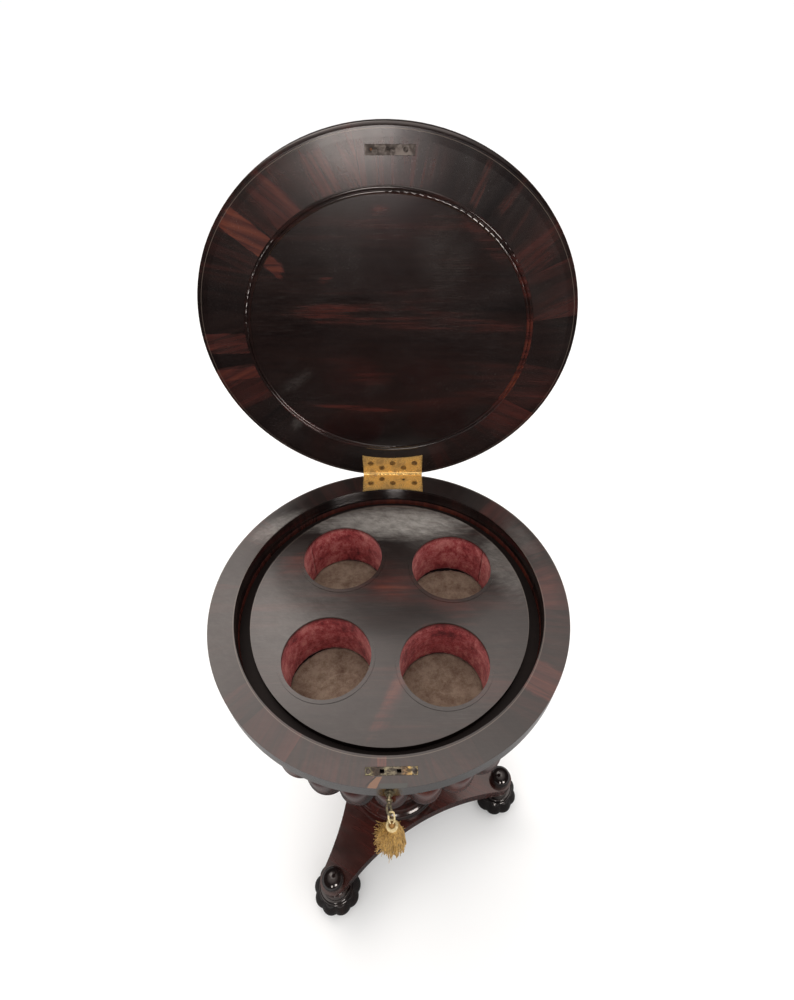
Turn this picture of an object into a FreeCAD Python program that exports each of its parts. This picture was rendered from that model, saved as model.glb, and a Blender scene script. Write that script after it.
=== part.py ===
import FreeCAD, Part
import math
import os

import Sketcher

# A round rosewood teapoy: a lidded box with four lined wells, on a turned column and a
# three-sided platform with lobed bun feet. Millimetres, Z up, the floor at zero.
# The lid is drawn open, as it stands against its hinge.

os.makedirs("parts", exist_ok=True)
doc = FreeCAD.newDocument("teapoy")
sheet = doc.addObject("Spreadsheet::Sheet", "Sizes")

sizes = {
    # the box
    "rim_radius": 220.0,
    "rim_height": 800.0,
    "rim_width": 30.6,
    "veneer": 1.5,
    "frieze_height": 24.0,
    "lining_wall": 2.0,
    "tray_drop": 21.0,
    "tray_margin": 14.9,
    "tray_thickness": 12.0,
    "deck_thickness": 8.0,
    "board_gap": 0.2,
    # the wells
    "well_depth": 77.0,
    "velvet": 1.5,
    "tub_wall": 2.6,
    "tub_floor": 4.0,
    "lip_width": 4.6,
    "lip_rise": 0.7,
    "lip_thickness": 2.2,
    # the lobed bowl under the frieze
    "bowl_height": 141.0,
    "bowl_ledge": 13.0,
    "floor_thickness": 9.0,
    "bowl_wall_foot": 26.0,
    "dish_height": 25.0,
    "dish_foot_radius": 96.0,
    # the column
    "capital_radius": 84.0,
    "flange_thickness": 8.0,
    "neck_radius": 33.0,
    "shaft_top_radius": 27.0,
    "shaft_foot_radius": 37.0,
    "shaft_ring": 6.2,
    "spigot_radius": 16.0,
    "spigot_reach": 18.0,
    "spigot_proud": 3.0,
    "collar_radius": 56.0,
    "socle_radius": 94.0,
    "joint_clearance": 0.1,
    # the platform and its feet
    "foot_height": 80.0,
    "foot_radius": 47.0,
    "foot_centre_radius": 222.0,
    "platform_thickness": 35.0,
    "platform_waist": 98.5,
    "platform_end_radius": 25.5,
    "boss_radius": 21.0,
    "boss_drum_height": 11.0,
    "dowel_radius": 8.0,
    "dowel_reach": 24.0,
    # the lid
    "lid_overhang": 6.6,
    "lid_shift": 3.1,
    "lid_thickness": 20.0,
    "lid_edge_width": 12.0,
    "edge_round": 3.0,
    "lid_open_angle": 90.0,
    "bead_inset": 56.6,
    "bead_width": 8.0,
    # the brass hinge
    "hinge_width": 88.0,
    "leaf_thickness": 2.0,
    "knuckle_radius": 3.4,
    "pin_radius": 1.7,
    "pin_clearance": 0.05,
    "knuckle_gap": 0.3,
    "hinge_stand": 1.0,
    "mortise_gap": 0.3,
    "seat_gap": 0.1,
    "screw_head_radius": 4.2,
    "screw_head_height": 1.3,
    "screw_shank_radius": 1.9,
    "screw_length": 13.0,
    "screw_slot_width": 1.1,
    "screw_slot_depth": 0.7,
    "small_screw_share": 0.6,
    # the lock, its link plate and the key
    "lock_inset": 16.0,
    "lock_shift": 2.4,
    "selvage_length": 52.0,
    "selvage_width": 8.0,
    "selvage_thickness": 1.2,
    "case_length": 43.0,
    "case_width": 13.0,
    "case_height": 19.0,
    "case_wall": 1.3,
    "staple_shift": 1.5,
    "staple_spread": 17.0,
    "staple_length": 4.0,
    "staple_width": 3.0,
    "staple_drop": 7.0,
    "link_shift": 4.2,
    "link_length": 48.0,
    "link_width": 9.0,
    "bolt_throw": 6.0,
    "bolt_width": 1.6,
    "key_drop": 11.5,
    "key_radius": 2.0,
    "key_reach": 11.0,
    "bit_length": 3.6,
    "bit_height": 2.4,
    "bit_thickness": 1.6,
    "bow_radius": 4.2,
    "bow_wire": 1.25,
    "escutcheon_radius": 4.8,
    "escutcheon_thickness": 0.9,
    # the silk tassel and the cord that it hangs by
    "cord_radius": 0.9,
    "cord_gap": 0.3,
    "cord_drop": 44.0,
    "cord_bulge": 3.1,
    "cord_foot": 1.4,
    "knot_radius": 4.2,
    "neck_ring_radius": 4.2,
    "neck_ring_wire": 1.3,
    "neck_drop": 3.6,
    "tassel_band_radius": 5.0,
    "tassel_band_height": 2.2,
    "skirt_length": 80.0,
    "skirt_radius": 14.0,
    "skirt_top_radius": 6.0,
    # how far a cutting tool runs past the face it opens
    "overrun": 5.0,
}

FREE = 0.0
nodes = []
wellAngles = (129.5, 36.5, 222.5, 309.0)
footAngles = {"front_left": 237.0, "right": 357.0, "back_left": 117.0}
bowlLobes = 30
collarLobes = 16
footLobes = 9
footTurns = {"front_left": 230.0, "right": 0.0, "back_left": 117.0}
bowTilt = 28.0


def text(number):
    return number.formula if isinstance(number, Size) else repr(float(number))


class Size(float):
    # a number that carries the sheet formula it was worked out from
    def __new__(cls, value, formula):
        size = super().__new__(cls, value)
        size.formula = formula
        return size

    def __add__(self, other):
        return Size(float(self) + float(other), f"({self.formula} + {text(other)})")

    def __radd__(self, other):
        return Size(float(other) + float(self), f"({text(other)} + {self.formula})")

    def __sub__(self, other):
        return Size(float(self) - float(other), f"({self.formula} - ({text(other)}))")

    def __rsub__(self, other):
        return Size(float(other) - float(self), f"({text(other)} - {self.formula})")

    def __mul__(self, other):
        return Size(float(self) * float(other), f"({self.formula} * ({text(other)}))")

    def __rmul__(self, other):
        return self * other

    def __truediv__(self, other):
        return Size(float(self) / float(other), f"({self.formula} / ({text(other)}))")

    def __neg__(self):
        return Size(-float(self), f"(0 - {self.formula})")


def root(size):
    return Size(math.sqrt(float(size)), f"sqrt({size.formula})")


def cosine(degrees):
    return Size(math.cos(math.radians(degrees)), f"cos({degrees.formula})")


def sine(degrees):
    return Size(math.sin(math.radians(degrees)), f"sin({degrees.formula})")


class Sheet:
    # every size of the table, by name
    def __init__(self, table):
        for row, (name, value) in enumerate(table.items(), start=1):
            sheet.set(f"A{row}", name)
            sheet.set(f"B{row}", str(value))
            sheet.setAlias(f"B{row}", name)
            setattr(self, name, Size(value, f"Sizes.{name}"))


g = Sheet(sizes)
doc.recompute()

# Levels and radii that several pieces share
platformTop = g.foot_height + g.platform_thickness
recessRadius = g.rim_radius - g.rim_width
trayRadius = recessRadius - g.tray_margin
lidRadius = g.rim_radius + g.lid_overhang
hingeReach = g.rim_radius + g.hinge_stand
lockReach = g.rim_radius - g.lock_inset
friezeFoot = g.rim_height - g.frieze_height
rimBoard = g.rim_height - g.veneer
trayTop = g.rim_height - g.tray_drop
deckTop = trayTop - g.tray_thickness
deckFoot = deckTop - g.deck_thickness
wellFloor = trayTop - g.well_depth
tubTop = trayTop - (g.lip_thickness - g.lip_rise)
wellRadiusShare = 0.303725
wellReachShare = 0.584527
wellRadius = trayRadius * wellRadiusShare
wellReach = trayRadius * wellReachShare
tubInner = wellRadius + g.velvet
tubOuter = tubInner + g.tub_wall
tubFoot = wellFloor - g.velvet - g.tub_floor
bowlFoot = friezeFoot - g.bowl_height
bowlRoom = recessRadius - g.bowl_ledge
floorTop = tubFoot - g.board_gap
floorFoot = floorTop - g.floor_thickness
dishFoot = bowlFoot - g.dish_height
columnHeight = dishFoot - platformTop
# the socle, the collar and the capital each take a share of the column's height
socleHeightShare = 0.121
collarHeightShare = 0.1455
capitalHeightShare = 0.1333
socleHeight = columnHeight * socleHeightShare
collarHeight = columnHeight * collarHeightShare
capitalHeight = columnHeight * capitalHeightShare
capitalFoot = dishFoot - capitalHeight
socleTop = platformTop + socleHeight
collarTop = socleTop + collarHeight
holeRadius = tubOuter + g.joint_clearance

# The column stands where the whole piece's middle is over the origin
frontReach = g.rim_radius + g.key_reach + g.bow_radius * 2 + g.bow_wire
lidLean = (hingeReach + lidRadius) * -cosine(g.lid_open_angle)
backReach = hingeReach + g.lid_thickness + lidLean
axisX = (lidRadius - g.lid_shift - g.foot_centre_radius - g.foot_radius) / 2
axisY = (frontReach - backReach) / 2


def new_body(label):
    body = doc.addObject("PartDesign::Body", label)
    body.Label = label
    return body


def new_sketch(body, name, role="XY_Plane", lift=None):
    sketch = body.newObject("Sketcher::SketchObject", name)
    plane = [item for item in body.Origin.OriginFeatures if item.Role == role][0]
    sketch.AttachmentSupport = [(plane, "")]
    sketch.MapMode = "FlatFace"
    if isinstance(lift, Size):
        sketch.setExpression("AttachmentOffset.Base.z", lift.formula)
    return sketch


def pin_to(sketch, edge, end, across, up):
    # hold one end of an edge at a place that the sheet gives
    for kind, size, datum in (("DistanceX", across, -2), ("DistanceY", up, -1)):
        if isinstance(size, Size):
            index = sketch.addConstraint(Sketcher.Constraint(kind, edge, end, float(size)))
            sketch.setExpression(f"Constraints[{index}]", size.formula)
        else:
            sketch.addConstraint(Sketcher.Constraint("PointOnObject", edge, end, datum))


def draw_outline(sketch, corners):
    # A closed outline, drawn anticlockwise. A corner is (across, up), or (across, up, radius)
    # where an arc of that radius runs to the next one: positive swells out, negative hollows in.
    ends = []
    for index, corner in enumerate(corners):
        after = corners[(index + 1) % len(corners)]
        start = FreeCAD.Vector(float(corner[0]), float(corner[1]), 0)
        stop = FreeCAD.Vector(float(after[0]), float(after[1]), 0)
        if len(corner) == 2:
            edge = sketch.addGeometry(Part.LineSegment(start, stop), False)
            ends.append((edge, 1, 2))
            continue
        radius = corner[2]
        chord = stop - start
        side = FreeCAD.Vector(-chord.y, chord.x, 0) / chord.Length
        rise = math.sqrt(max(float(radius) ** 2 - chord.Length ** 2 / 4, 0.0))
        middle = (start + stop) / 2 + side * math.copysign(rise, float(radius))
        early, late = (start, stop) if radius > 0 else (stop, start)
        begin = math.atan2(early.y - middle.y, early.x - middle.x)
        finish = math.atan2(late.y - middle.y, late.x - middle.x)
        if finish < begin:
            finish += 2 * math.pi
        circle = Part.Circle(middle, FreeCAD.Vector(0, 0, 1), abs(float(radius)))
        edge = sketch.addGeometry(Part.ArcOfCircle(circle, begin, finish), False)
        ends.append((edge, 1, 2) if radius > 0 else (edge, 2, 1))
        size = radius if radius > 0 else -radius
        held = sketch.addConstraint(Sketcher.Constraint("Radius", edge, float(size)))
        sketch.setExpression(f"Constraints[{held}]", size.formula)
    for index, (edge, start, stop) in enumerate(ends):
        following = ends[(index + 1) % len(ends)]
        sketch.addConstraint(Sketcher.Constraint("Coincident", edge, stop, following[0], following[1]))
        pin_to(sketch, edge, start, corners[index][0], corners[index][1])


def draw_circles(sketch, centres, radius):
    for across, up in centres:
        middle = FreeCAD.Vector(float(across), float(up), 0)
        edge = sketch.addGeometry(Part.Circle(middle, FreeCAD.Vector(0, 0, 1), float(radius)), False)
        pin_to(sketch, edge, 3, across, up)
        index = sketch.addConstraint(Sketcher.Constraint("Radius", edge, float(radius)))
        sketch.setExpression(f"Constraints[{index}]", radius.formula)


def turned(label, corners):
    # a turned piece: half its outline, (radius, height), spun about its own axis
    body = new_body(label)
    sketch = new_sketch(body, label + "_profile", "XZ_Plane")
    draw_outline(sketch, corners)
    turn = body.newObject("PartDesign::Revolution", label + "_turn")
    turn.Profile = sketch
    turn.ReferenceAxis = (sketch, ["V_Axis"])
    turn.Angle = 360
    return body


def ring(label, inner, outer, foot, top):
    return turned(label, [(inner, foot), (outer, foot), (outer, top), (inner, top)])


def rod(label, radius, length, role="YZ_Plane"):
    # a plain round rod, half each way along the plane's own axis
    body = new_body(label)
    sketch = new_sketch(body, label + "_circle", role)
    draw_circles(sketch, [(FREE, FREE)], radius)
    pad = body.newObject("PartDesign::Pad", label + "_pad")
    pad.Profile = sketch
    pad.SideType = "Symmetric"
    pad.setExpression("Length", length.formula)
    return body


def disc(label, radius, foot, top):
    return turned(label, [(FREE, foot), (radius, foot), (radius, top), (FREE, top)])


def plate(label, corners, thickness, lift=None, role="XY_Plane", both=False):
    body = new_body(label)
    sketch = new_sketch(body, label + "_outline", role, lift)
    draw_outline(sketch, corners)
    pad = body.newObject("PartDesign::Pad", label + "_pad")
    pad.Profile = sketch
    pad.SideType = "Symmetric" if both else "One side"
    pad.setExpression("Length", thickness.formula)
    return body


def box_corners(left, right, front, back):
    return [(left, front), (right, front), (right, back), (left, back)]


def cut_through(body, name, sketch):
    pocket = body.newObject("PartDesign::Pocket", name)
    pocket.Profile = sketch
    pocket.Type = "ThroughAll"
    pocket.SideType = "Symmetric"
    return pocket


def cut_down(body, name, sketch, depth):
    pocket = body.newObject("PartDesign::Pocket", name)
    pocket.Profile = sketch
    pocket.setExpression("Length", depth.formula)
    return pocket


def drill(body, name, centres, radius, role="XY_Plane"):
    sketch = new_sketch(body, name + "_circles", role)
    draw_circles(sketch, centres, radius)
    return cut_through(body, name, sketch)


def sink(body, name, centres, radius, lift, depth):
    # blind round holes, cut down from the height that lift gives
    sketch = new_sketch(body, name + "_circles", "XY_Plane", lift)
    draw_circles(sketch, centres, radius)
    return cut_down(body, name, sketch, depth)


def mortise(body, name, corners, lift, depth):
    sketch = new_sketch(body, name + "_outline", "XY_Plane", lift)
    draw_outline(sketch, corners)
    return cut_down(body, name, sketch, depth)


def polar(radius, degrees):
    return (radius * math.cos(math.radians(degrees)), radius * math.sin(math.radians(degrees)))


def place(item, across=FREE, back=FREE, up=FREE):
    # set a piece down, measured from the foot of the column's axis
    for letter, size in (("x", axisX + across), ("y", axisY + back), ("z", up)):
        if isinstance(size, Size):
            item.setExpression("Placement.Base." + letter, size.formula)
    nodes.append(item)
    return item


def tilt(item, axis, degrees):
    item.Placement = FreeCAD.Placement(item.Placement.Base, FreeCAD.Rotation(FreeCAD.Vector(*axis), degrees))
    return item


def lobed_wire(crest, valley, lobes, height):
    # a ring of round lobes: each an arc from valley to valley over its crest
    edges = []
    for lobe in range(lobes):
        angles = [2 * math.pi * (lobe + step) / lobes for step in (0.0, 0.5, 1.0)]
        points = [FreeCAD.Vector(reach * math.cos(angle), reach * math.sin(angle), float(height))
                  for reach, angle in zip((float(valley), float(crest), float(valley)), angles)]
        edges.append(Part.Arc(*points).toShape())
    return Part.Wire(edges)


def lobed(name, lobes, height, radius, table):
    # a lobed solid through rings given as shares: height, crest and valley
    wires = [lobed_wire(radius * crest, radius * valley, lobes, height * level)
             for level, crest, valley in table]
    blank = doc.addObject("Part::Feature", name)
    blank.Shape = Part.makeLoft(wires, True, False)
    return blank


def shared_outline(radius, height, table):
    # outline points as shares of a radius and of a height; a third share is an arc's radius by height
    corners = []
    for across, up, *bend in table:
        corner = (radius * across, height * up if up else FREE)
        corners.append(corner + tuple(height * share for share in bend))
    return corners


def join(kind, label, pieces):
    item = doc.addObject(kind, label)
    item.Label = label
    if kind == "Part::Cut":
        item.Base, item.Tool = pieces
    else:
        item.Shapes = pieces
    return item


def copies(label, blank, centres):
    # one node of alike pieces, standing at several places
    item = doc.addObject("Part::Feature", label)
    item.Label = label
    doc.recompute()
    item.Shape = Part.makeCompound([blank.Shape.translated(FreeCAD.Vector(float(across), float(back), 0))
                                    for across, back in centres])
    return item


def keyhole(body, name, up):
    # the round of the hole, and under it the slot that lets the key's bit through
    for part in ("round", "slot"):
        sketch = new_sketch(body, f"{name}_{part}_outline", "XZ_Plane")
        if part == "round":
            draw_circles(sketch, [(FREE, up)], keyHole)
        else:
            draw_outline(sketch, box_corners(-bitRoom, bitRoom, up - g.bit_length - g.mortise_gap, up))
        pocket = body.newObject("PartDesign::Pocket", f"{name}_{part}")
        pocket.Profile = sketch
        pocket.Reversed = True
        pocket.Type = "ThroughAll"


def bored(label, blank, bores):
    # a blank cut by coaxial bores, each (radius, foot, top)
    for index, (radius, foot, top) in enumerate(bores):
        drum = doc.addObject("Part::Cylinder", f"{label}_bore_{index}")
        drum.setExpression("Radius", radius.formula)
        drum.setExpression("Height", (top - foot).formula)
        drum.setExpression("Placement.Base.z", text(foot))
        last = index == len(bores) - 1
        blank = join("Part::Cut", label if last else f"{label}_stage_{index}", (blank, drum))
    return blank


# The platform: three hollowed sides between rounded ends, each end over a foot
wellCentres = [polar(wellReach, angle) for angle in wellAngles]
footCentres = [polar(g.foot_centre_radius, angle) for angle in footAngles.values()]
inset = g.platform_waist - g.platform_end_radius
circleRadius = g.foot_centre_radius
hollowReach = (circleRadius * circleRadius - inset * inset) / (circleRadius - inset * 2)
hollowRadius = hollowReach - g.platform_waist
middleTurn = 60.0


def platform_outline():
    corners = []
    span = hollowRadius + g.platform_end_radius
    for angle in sorted(footAngles.values()):
        end = polar(g.foot_centre_radius, angle)
        for turn, radius in ((-middleTurn, g.platform_end_radius), (middleTurn, -hollowRadius)):
            hollow = polar(hollowReach, angle + turn)
            across = end[0] + (hollow[0] - end[0]) * g.platform_end_radius / span
            back = end[1] + (hollow[1] - end[1]) * g.platform_end_radius / span
            corners.append((across, back, radius))
    return corners


platformOutline = platform_outline()
dowelHole = g.dowel_radius + g.joint_clearance
spigotHole = g.spigot_radius + g.joint_clearance
dowelFoot = g.foot_height - g.dowel_reach / 2

platform = plate("platform_core", platformOutline, g.platform_thickness - g.veneer)
drill(platform, "platform_mortise", [(FREE, FREE)], spigotHole)
drill(platform, "platform_dowel_holes", footCentres, dowelHole)
place(platform, up=g.foot_height)

platformSkin = plate("platform_veneer", platformOutline, g.veneer)
drill(platformSkin, "platform_skin_mortise", [(FREE, FREE)], spigotHole)
drill(platformSkin, "platform_skin_holes", footCentres, dowelHole)
place(platformSkin, up=platformTop - g.veneer)

# The feet: nine lobes under two turned rings
footBunShare = 0.65
footShares = ((0.0, 0.62, 0.57), (0.12, 0.84, 0.775), (0.30, 0.97, 0.89), (0.46, 1.0, 0.915),
              (0.62, 0.965, 0.88), (0.80, 0.88, 0.81), (0.93, 0.80, 0.75), (1.0, 0.74, 0.71))
neckShares = ((0.71, 0.62), (0.71, 0.635, 0.046), (0.71, 0.715), (0.59, 0.715), (0.59, 0.75),
              (0.64, 0.75, 0.040), (0.64, 0.825), (0.53, 0.825), (0.53, 1.0))
neckOutlineFoot = shared_outline(g.foot_radius, g.foot_height, neckShares)
neckFoot = g.foot_height * neckShares[0][1]

for side, angle in footAngles.items():
    bun = lobed(f"bun_blank_{side}", footLobes, g.foot_height * footBunShare, g.foot_radius, footShares)
    neck = turned(f"neck_blank_{side}", [(FREE, neckFoot)] + neckOutlineFoot + [(FREE, g.foot_height)])
    whole = join("Part::MultiFuse", f"foot_blank_{side}", [bun, neck])
    foot = bored(f"bun_foot_{side}", whole, [(dowelHole, dowelFoot, g.foot_height + g.overrun)])
    place(foot, *polar(g.foot_centre_radius, angle))
    tilt(foot, (0, 0, 1), footTurns[side])

    # a turned boss over each foot, its spigot in the platform
    crown = g.boss_drum_height + g.boss_radius
    peg = platformTop - g.veneer
    boss = turned(f"platform_boss_{side}", [
        (FREE, peg - platformTop), (g.dowel_radius, peg - platformTop), (g.dowel_radius, FREE),
        (g.boss_radius, FREE), (g.boss_radius, g.boss_drum_height, g.boss_radius), (FREE, crown)])
    place(boss, *polar(g.foot_centre_radius, angle), up=platformTop)

dowelTop = platformTop - g.veneer - g.joint_clearance
place(copies("foot_dowels", disc("dowel_blank", g.dowel_radius, dowelFoot, dowelTop), footCentres))

# The column, from the socle on the platform up to the capital under the box
socleShares = ((0.93, 0.0), (0.93, 0.12, 0.55), (1.0, 0.55, 0.45), (0.86, 0.80), (0.76, 0.80),
               (0.76, 0.88, -0.30), (0.62, 1.0))
socleOutline = shared_outline(g.socle_radius, socleHeight, socleShares)
socle = turned("column_socle", [(spigotHole, FREE)] + socleOutline + [(spigotHole, socleHeight)])
place(socle, up=platformTop)

collarShares = ((0.0, 0.96, 0.88), (0.22, 1.0, 0.90), (0.5, 0.93, 0.84), (0.8, 0.78, 0.72),
                (1.0, 0.70, 0.66))
collarBlank = lobed("collar_blank", collarLobes, collarHeight, g.collar_radius, collarShares)
collar = bored("column_lobed_collar", collarBlank, [(spigotHole, -g.overrun, collarHeight + g.overrun)])
place(collar, up=socleTop)

spigotFoot = g.foot_height - g.spigot_proud
shaftTop = capitalFoot
spigotTop = dishFoot + g.spigot_reach
ringArcShare = 1.2
swellShare = 3.0
ringArc = g.shaft_ring * ringArcShare
lowRingTop = collarTop + g.shaft_ring * 2
highRingFoot = shaftTop - g.shaft_ring * 3
shaftFoot = g.shaft_foot_radius - g.shaft_ring
highRing = g.shaft_top_radius + g.shaft_ring
shaft = turned("column_shaft", [
    (FREE, spigotFoot), (g.spigot_radius, spigotFoot), (g.spigot_radius, collarTop),
    (g.shaft_foot_radius, collarTop, ringArc), (g.shaft_foot_radius, lowRingTop), (shaftFoot, lowRingTop),
    (shaftFoot, lowRingTop + g.shaft_ring, (shaftTop - collarTop) * swellShare),
    (g.shaft_top_radius, highRingFoot), (highRing, highRingFoot, ringArc),
    (highRing, shaftTop - g.shaft_ring), (g.shaft_top_radius, shaftTop - g.shaft_ring),
    (g.shaft_top_radius, shaftTop), (g.spigot_radius, shaftTop), (g.spigot_radius, spigotTop),
    (FREE, spigotTop)])
place(shaft)

flangeFoot = capitalHeight - g.flange_thickness
neckShares = ((1.0, 0.0, 0.1), (1.0, 0.16), (0.9, 0.16), (0.9, 0.24, -1.0))
flareShare = 0.72
flangeScrewShare = 0.87
neckOutline = shared_outline(g.neck_radius, capitalHeight, neckShares)
capital = turned("column_capital", [(spigotHole, FREE)] + neckOutline + [
    (g.capital_radius * flareShare, flangeFoot), (g.capital_radius, flangeFoot),
    (g.capital_radius, capitalHeight), (spigotHole, capitalHeight)])
screwCircle = g.capital_radius * flangeScrewShare
capitalTurns = (45.0, 135.0, 225.0, 315.0)
capitalHoles = [polar(screwCircle, turn) for turn in capitalTurns]
drill(capital, "capital_screw_holes", capitalHoles, g.screw_shank_radius + g.joint_clearance)
place(capital, up=capitalFoot)

# The bowl: a lobed ring, its turned dish and the boards inside
bowlShares = ((0.0, 0.836, 0.776), (0.14, 0.905, 0.838), (0.29, 0.94, 0.875), (0.55, 0.949, 0.886),
              (0.80, 0.945, 0.892), (1.0, 0.925, 0.887))
bowlBlank = lobed("bowl_blank", bowlLobes, g.bowl_height, g.rim_radius, bowlShares)
roomRadius = recessRadius + g.board_gap
bowl = bored("lobed_bowl_ring", bowlBlank, [
    (bowlRoom - g.bowl_wall_foot, -g.overrun, g.bowl_height + g.overrun),
    (bowlRoom + g.board_gap, floorFoot - bowlFoot, g.bowl_height + g.overrun),
    (roomRadius, deckFoot - bowlFoot, g.bowl_height + g.overrun)])
place(bowl, up=bowlFoot)

dishRadiusShare = 0.772727
dishHeightShares = (0.2, 0.75)
dishRadius = g.rim_radius * dishRadiusShare
dish = turned("bowl_dish", [
    (FREE, FREE), (g.dish_foot_radius, FREE),
    (g.dish_foot_radius, g.dish_height * dishHeightShares[0], -dishRadius),
    (dishRadius, g.dish_height * dishHeightShares[1]), (dishRadius, g.dish_height),
    (FREE, g.dish_height)])
sink(dish, "dish_mortise", [(FREE, FREE)], spigotHole, g.spigot_reach + g.joint_clearance,
     g.spigot_reach + g.joint_clearance + g.overrun)
place(dish, up=dishFoot)

floorBoard = disc("box_floor", bowlRoom, FREE, g.floor_thickness)
place(floorBoard, up=floorFoot)

deck = disc("well_deck", recessRadius, FREE, g.deck_thickness)
drill(deck, "deck_wells", wellCentres, holeRadius)
place(deck, up=deckFoot)

# The frieze and the rim, mortised for the hinge and the lock
leafReach = hingeReach - recessRadius
halfHinge = g.hinge_width / 2
mortiseHalf = halfHinge + g.mortise_gap
knuckleRoom = g.knuckle_radius + g.mortise_gap
barrelFront = hingeReach - knuckleRoom
leafSeat = g.leaf_thickness + g.seat_gap
halfSelvage = g.selvage_length / 2
halfCase = g.case_length / 2
caseTop = g.selvage_thickness + g.mortise_gap


def leaf_corners(half, back, shift=FREE):
    # the leaf's front edge follows the edge of the recess; shift is how far right of it the leaf is
    left, right = shift - half, shift + half
    ends = [root(recessRadius * recessRadius - side * side) for side in (left, right)]
    return [(left, ends[0], -recessRadius), (right, ends[1]), (right, back), (left, back)]


def hinge_mortises(body, name, top):
    mortise(body, name + "_leaf", leaf_corners(mortiseHalf, hingeReach + g.overrun, g.lid_shift),
            top, leafSeat)
    mortise(body, name + "_barrel",
            box_corners(g.lid_shift - mortiseHalf, g.lid_shift + mortiseHalf, barrelFront,
                        hingeReach + g.overrun), top, knuckleRoom)


def lock_box(half, wide, gap):
    return box_corners(g.lock_shift - half - gap, g.lock_shift + half + gap,
                       -lockReach - wide / 2 - gap, -lockReach + wide / 2 + gap)


friezeTop = g.frieze_height - g.veneer
keyHole = g.key_radius + g.mortise_gap
bitRoom = g.bit_thickness / 2 + g.mortise_gap
frieze = ring("frieze_ring", recessRadius + g.lining_wall, g.rim_radius - g.veneer, FREE, friezeTop)
hinge_mortises(frieze, "frieze_hinge", g.frieze_height)
mortise(frieze, "frieze_lock", lock_box(halfCase, g.case_width, g.mortise_gap), friezeTop,
        g.case_height + g.mortise_gap)
keyhole(frieze, "frieze_keyhole", g.frieze_height - g.key_drop)
place(frieze, up=friezeFoot)

friezeSkin = ring("frieze_veneer", g.rim_radius - g.veneer, g.rim_radius, FREE, friezeTop)
hinge_mortises(friezeSkin, "veneer_hinge", g.frieze_height)
keyhole(friezeSkin, "veneer_keyhole", g.frieze_height - g.key_drop)
place(friezeSkin, up=friezeFoot)

crossband = ring("rim_crossband", recessRadius, g.rim_radius, FREE, g.veneer)
hinge_mortises(crossband, "band_hinge", g.veneer)
mortise(crossband, "band_lock", lock_box(halfSelvage, g.selvage_width, g.board_gap), g.veneer, g.overrun)
place(crossband, up=rimBoard)

lining = ring("recess_lining", recessRadius, recessRadius + g.lining_wall, FREE, rimBoard - friezeFoot)
liningMortise = leaf_corners(mortiseHalf, hingeReach, g.lid_shift)
mortise(lining, "lining_hinge", liningMortise, g.frieze_height, leafSeat)
place(lining, up=friezeFoot)

# The tray, its veneer and its lined wells
board = disc("tray_board", trayRadius, FREE, g.tray_thickness - g.veneer)
drill(board, "tray_wells", wellCentres, holeRadius)
place(board, up=deckTop)

lipOuter = wellRadius + g.lip_width
traySkin = disc("tray_veneer", trayRadius, FREE, g.veneer)
drill(traySkin, "tray_skin_wells", wellCentres, lipOuter + g.joint_clearance)
place(traySkin, up=trayTop - g.veneer)

for number, centre in enumerate(wellCentres, start=1):
    tub = turned(f"well_tub_{number}", [
        (FREE, FREE), (tubOuter, FREE), (tubOuter, tubTop - tubFoot), (tubInner, tubTop - tubFoot),
        (tubInner, g.tub_floor), (FREE, g.tub_floor)])
    place(tub, *centre, up=tubFoot)

    cushion = disc(f"velvet_floor_{number}", tubInner - g.board_gap, FREE, g.velvet)
    place(cushion, *centre, up=tubFoot + g.tub_floor)

    sleeve = ring(f"velvet_wall_{number}", wellRadius, tubInner, FREE, tubTop - wellFloor)
    place(sleeve, *centre, up=wellFloor)

lipBlank = ring("lip_blank", wellRadius, lipOuter, FREE, g.lip_thickness)
place(copies("well_lip_rings", lipBlank, wellCentres), up=tubTop)

# Slotted screws, alike but for where they stand
slotTurn = 47.0


def screw_shape(length, share):
    headRadius, headHeight = float(g.screw_head_radius) * share, float(g.screw_head_height) * share
    slotWidth, slotDepth = float(g.screw_slot_width) * share, float(g.screw_slot_depth) * share
    head = Part.makeCylinder(headRadius, headHeight)
    shank = Part.makeCylinder(float(g.screw_shank_radius) * share, float(length))
    shank.translate(FreeCAD.Vector(0, 0, headHeight - float(length)))
    slot = Part.makeBox(headRadius * 2, slotWidth, slotDepth)
    slot.translate(FreeCAD.Vector(-headRadius, -slotWidth / 2, headHeight - slotDepth))
    return head.fuse(shank).cut(slot)


def screws(label, places, length, share=1.0):
    # a row of screws, heads up, the head's foot at zero; each slot stands at its own angle
    solids = []
    for index, (across, back) in enumerate(places):
        solid = screw_shape(length, float(share))
        solid.rotate(FreeCAD.Vector(0, 0, 0), FreeCAD.Vector(0, 0, 1), slotTurn * index)
        solid.translate(FreeCAD.Vector(float(across), float(back), 0))
        solids.append(solid)
    item = doc.addObject("Part::Feature", label)
    item.Label = label
    item.Shape = Part.makeCompound(solids)
    return item


flangePlaces = [(across, -back) for across, back in capitalHoles]
capitalScrews = screws("capital_screws", flangePlaces, g.screw_length + g.flange_thickness)
place(capitalScrews, up=capitalFoot + flangeFoot)
tilt(capitalScrews, (1, 0, 0), 180.0)

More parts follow.
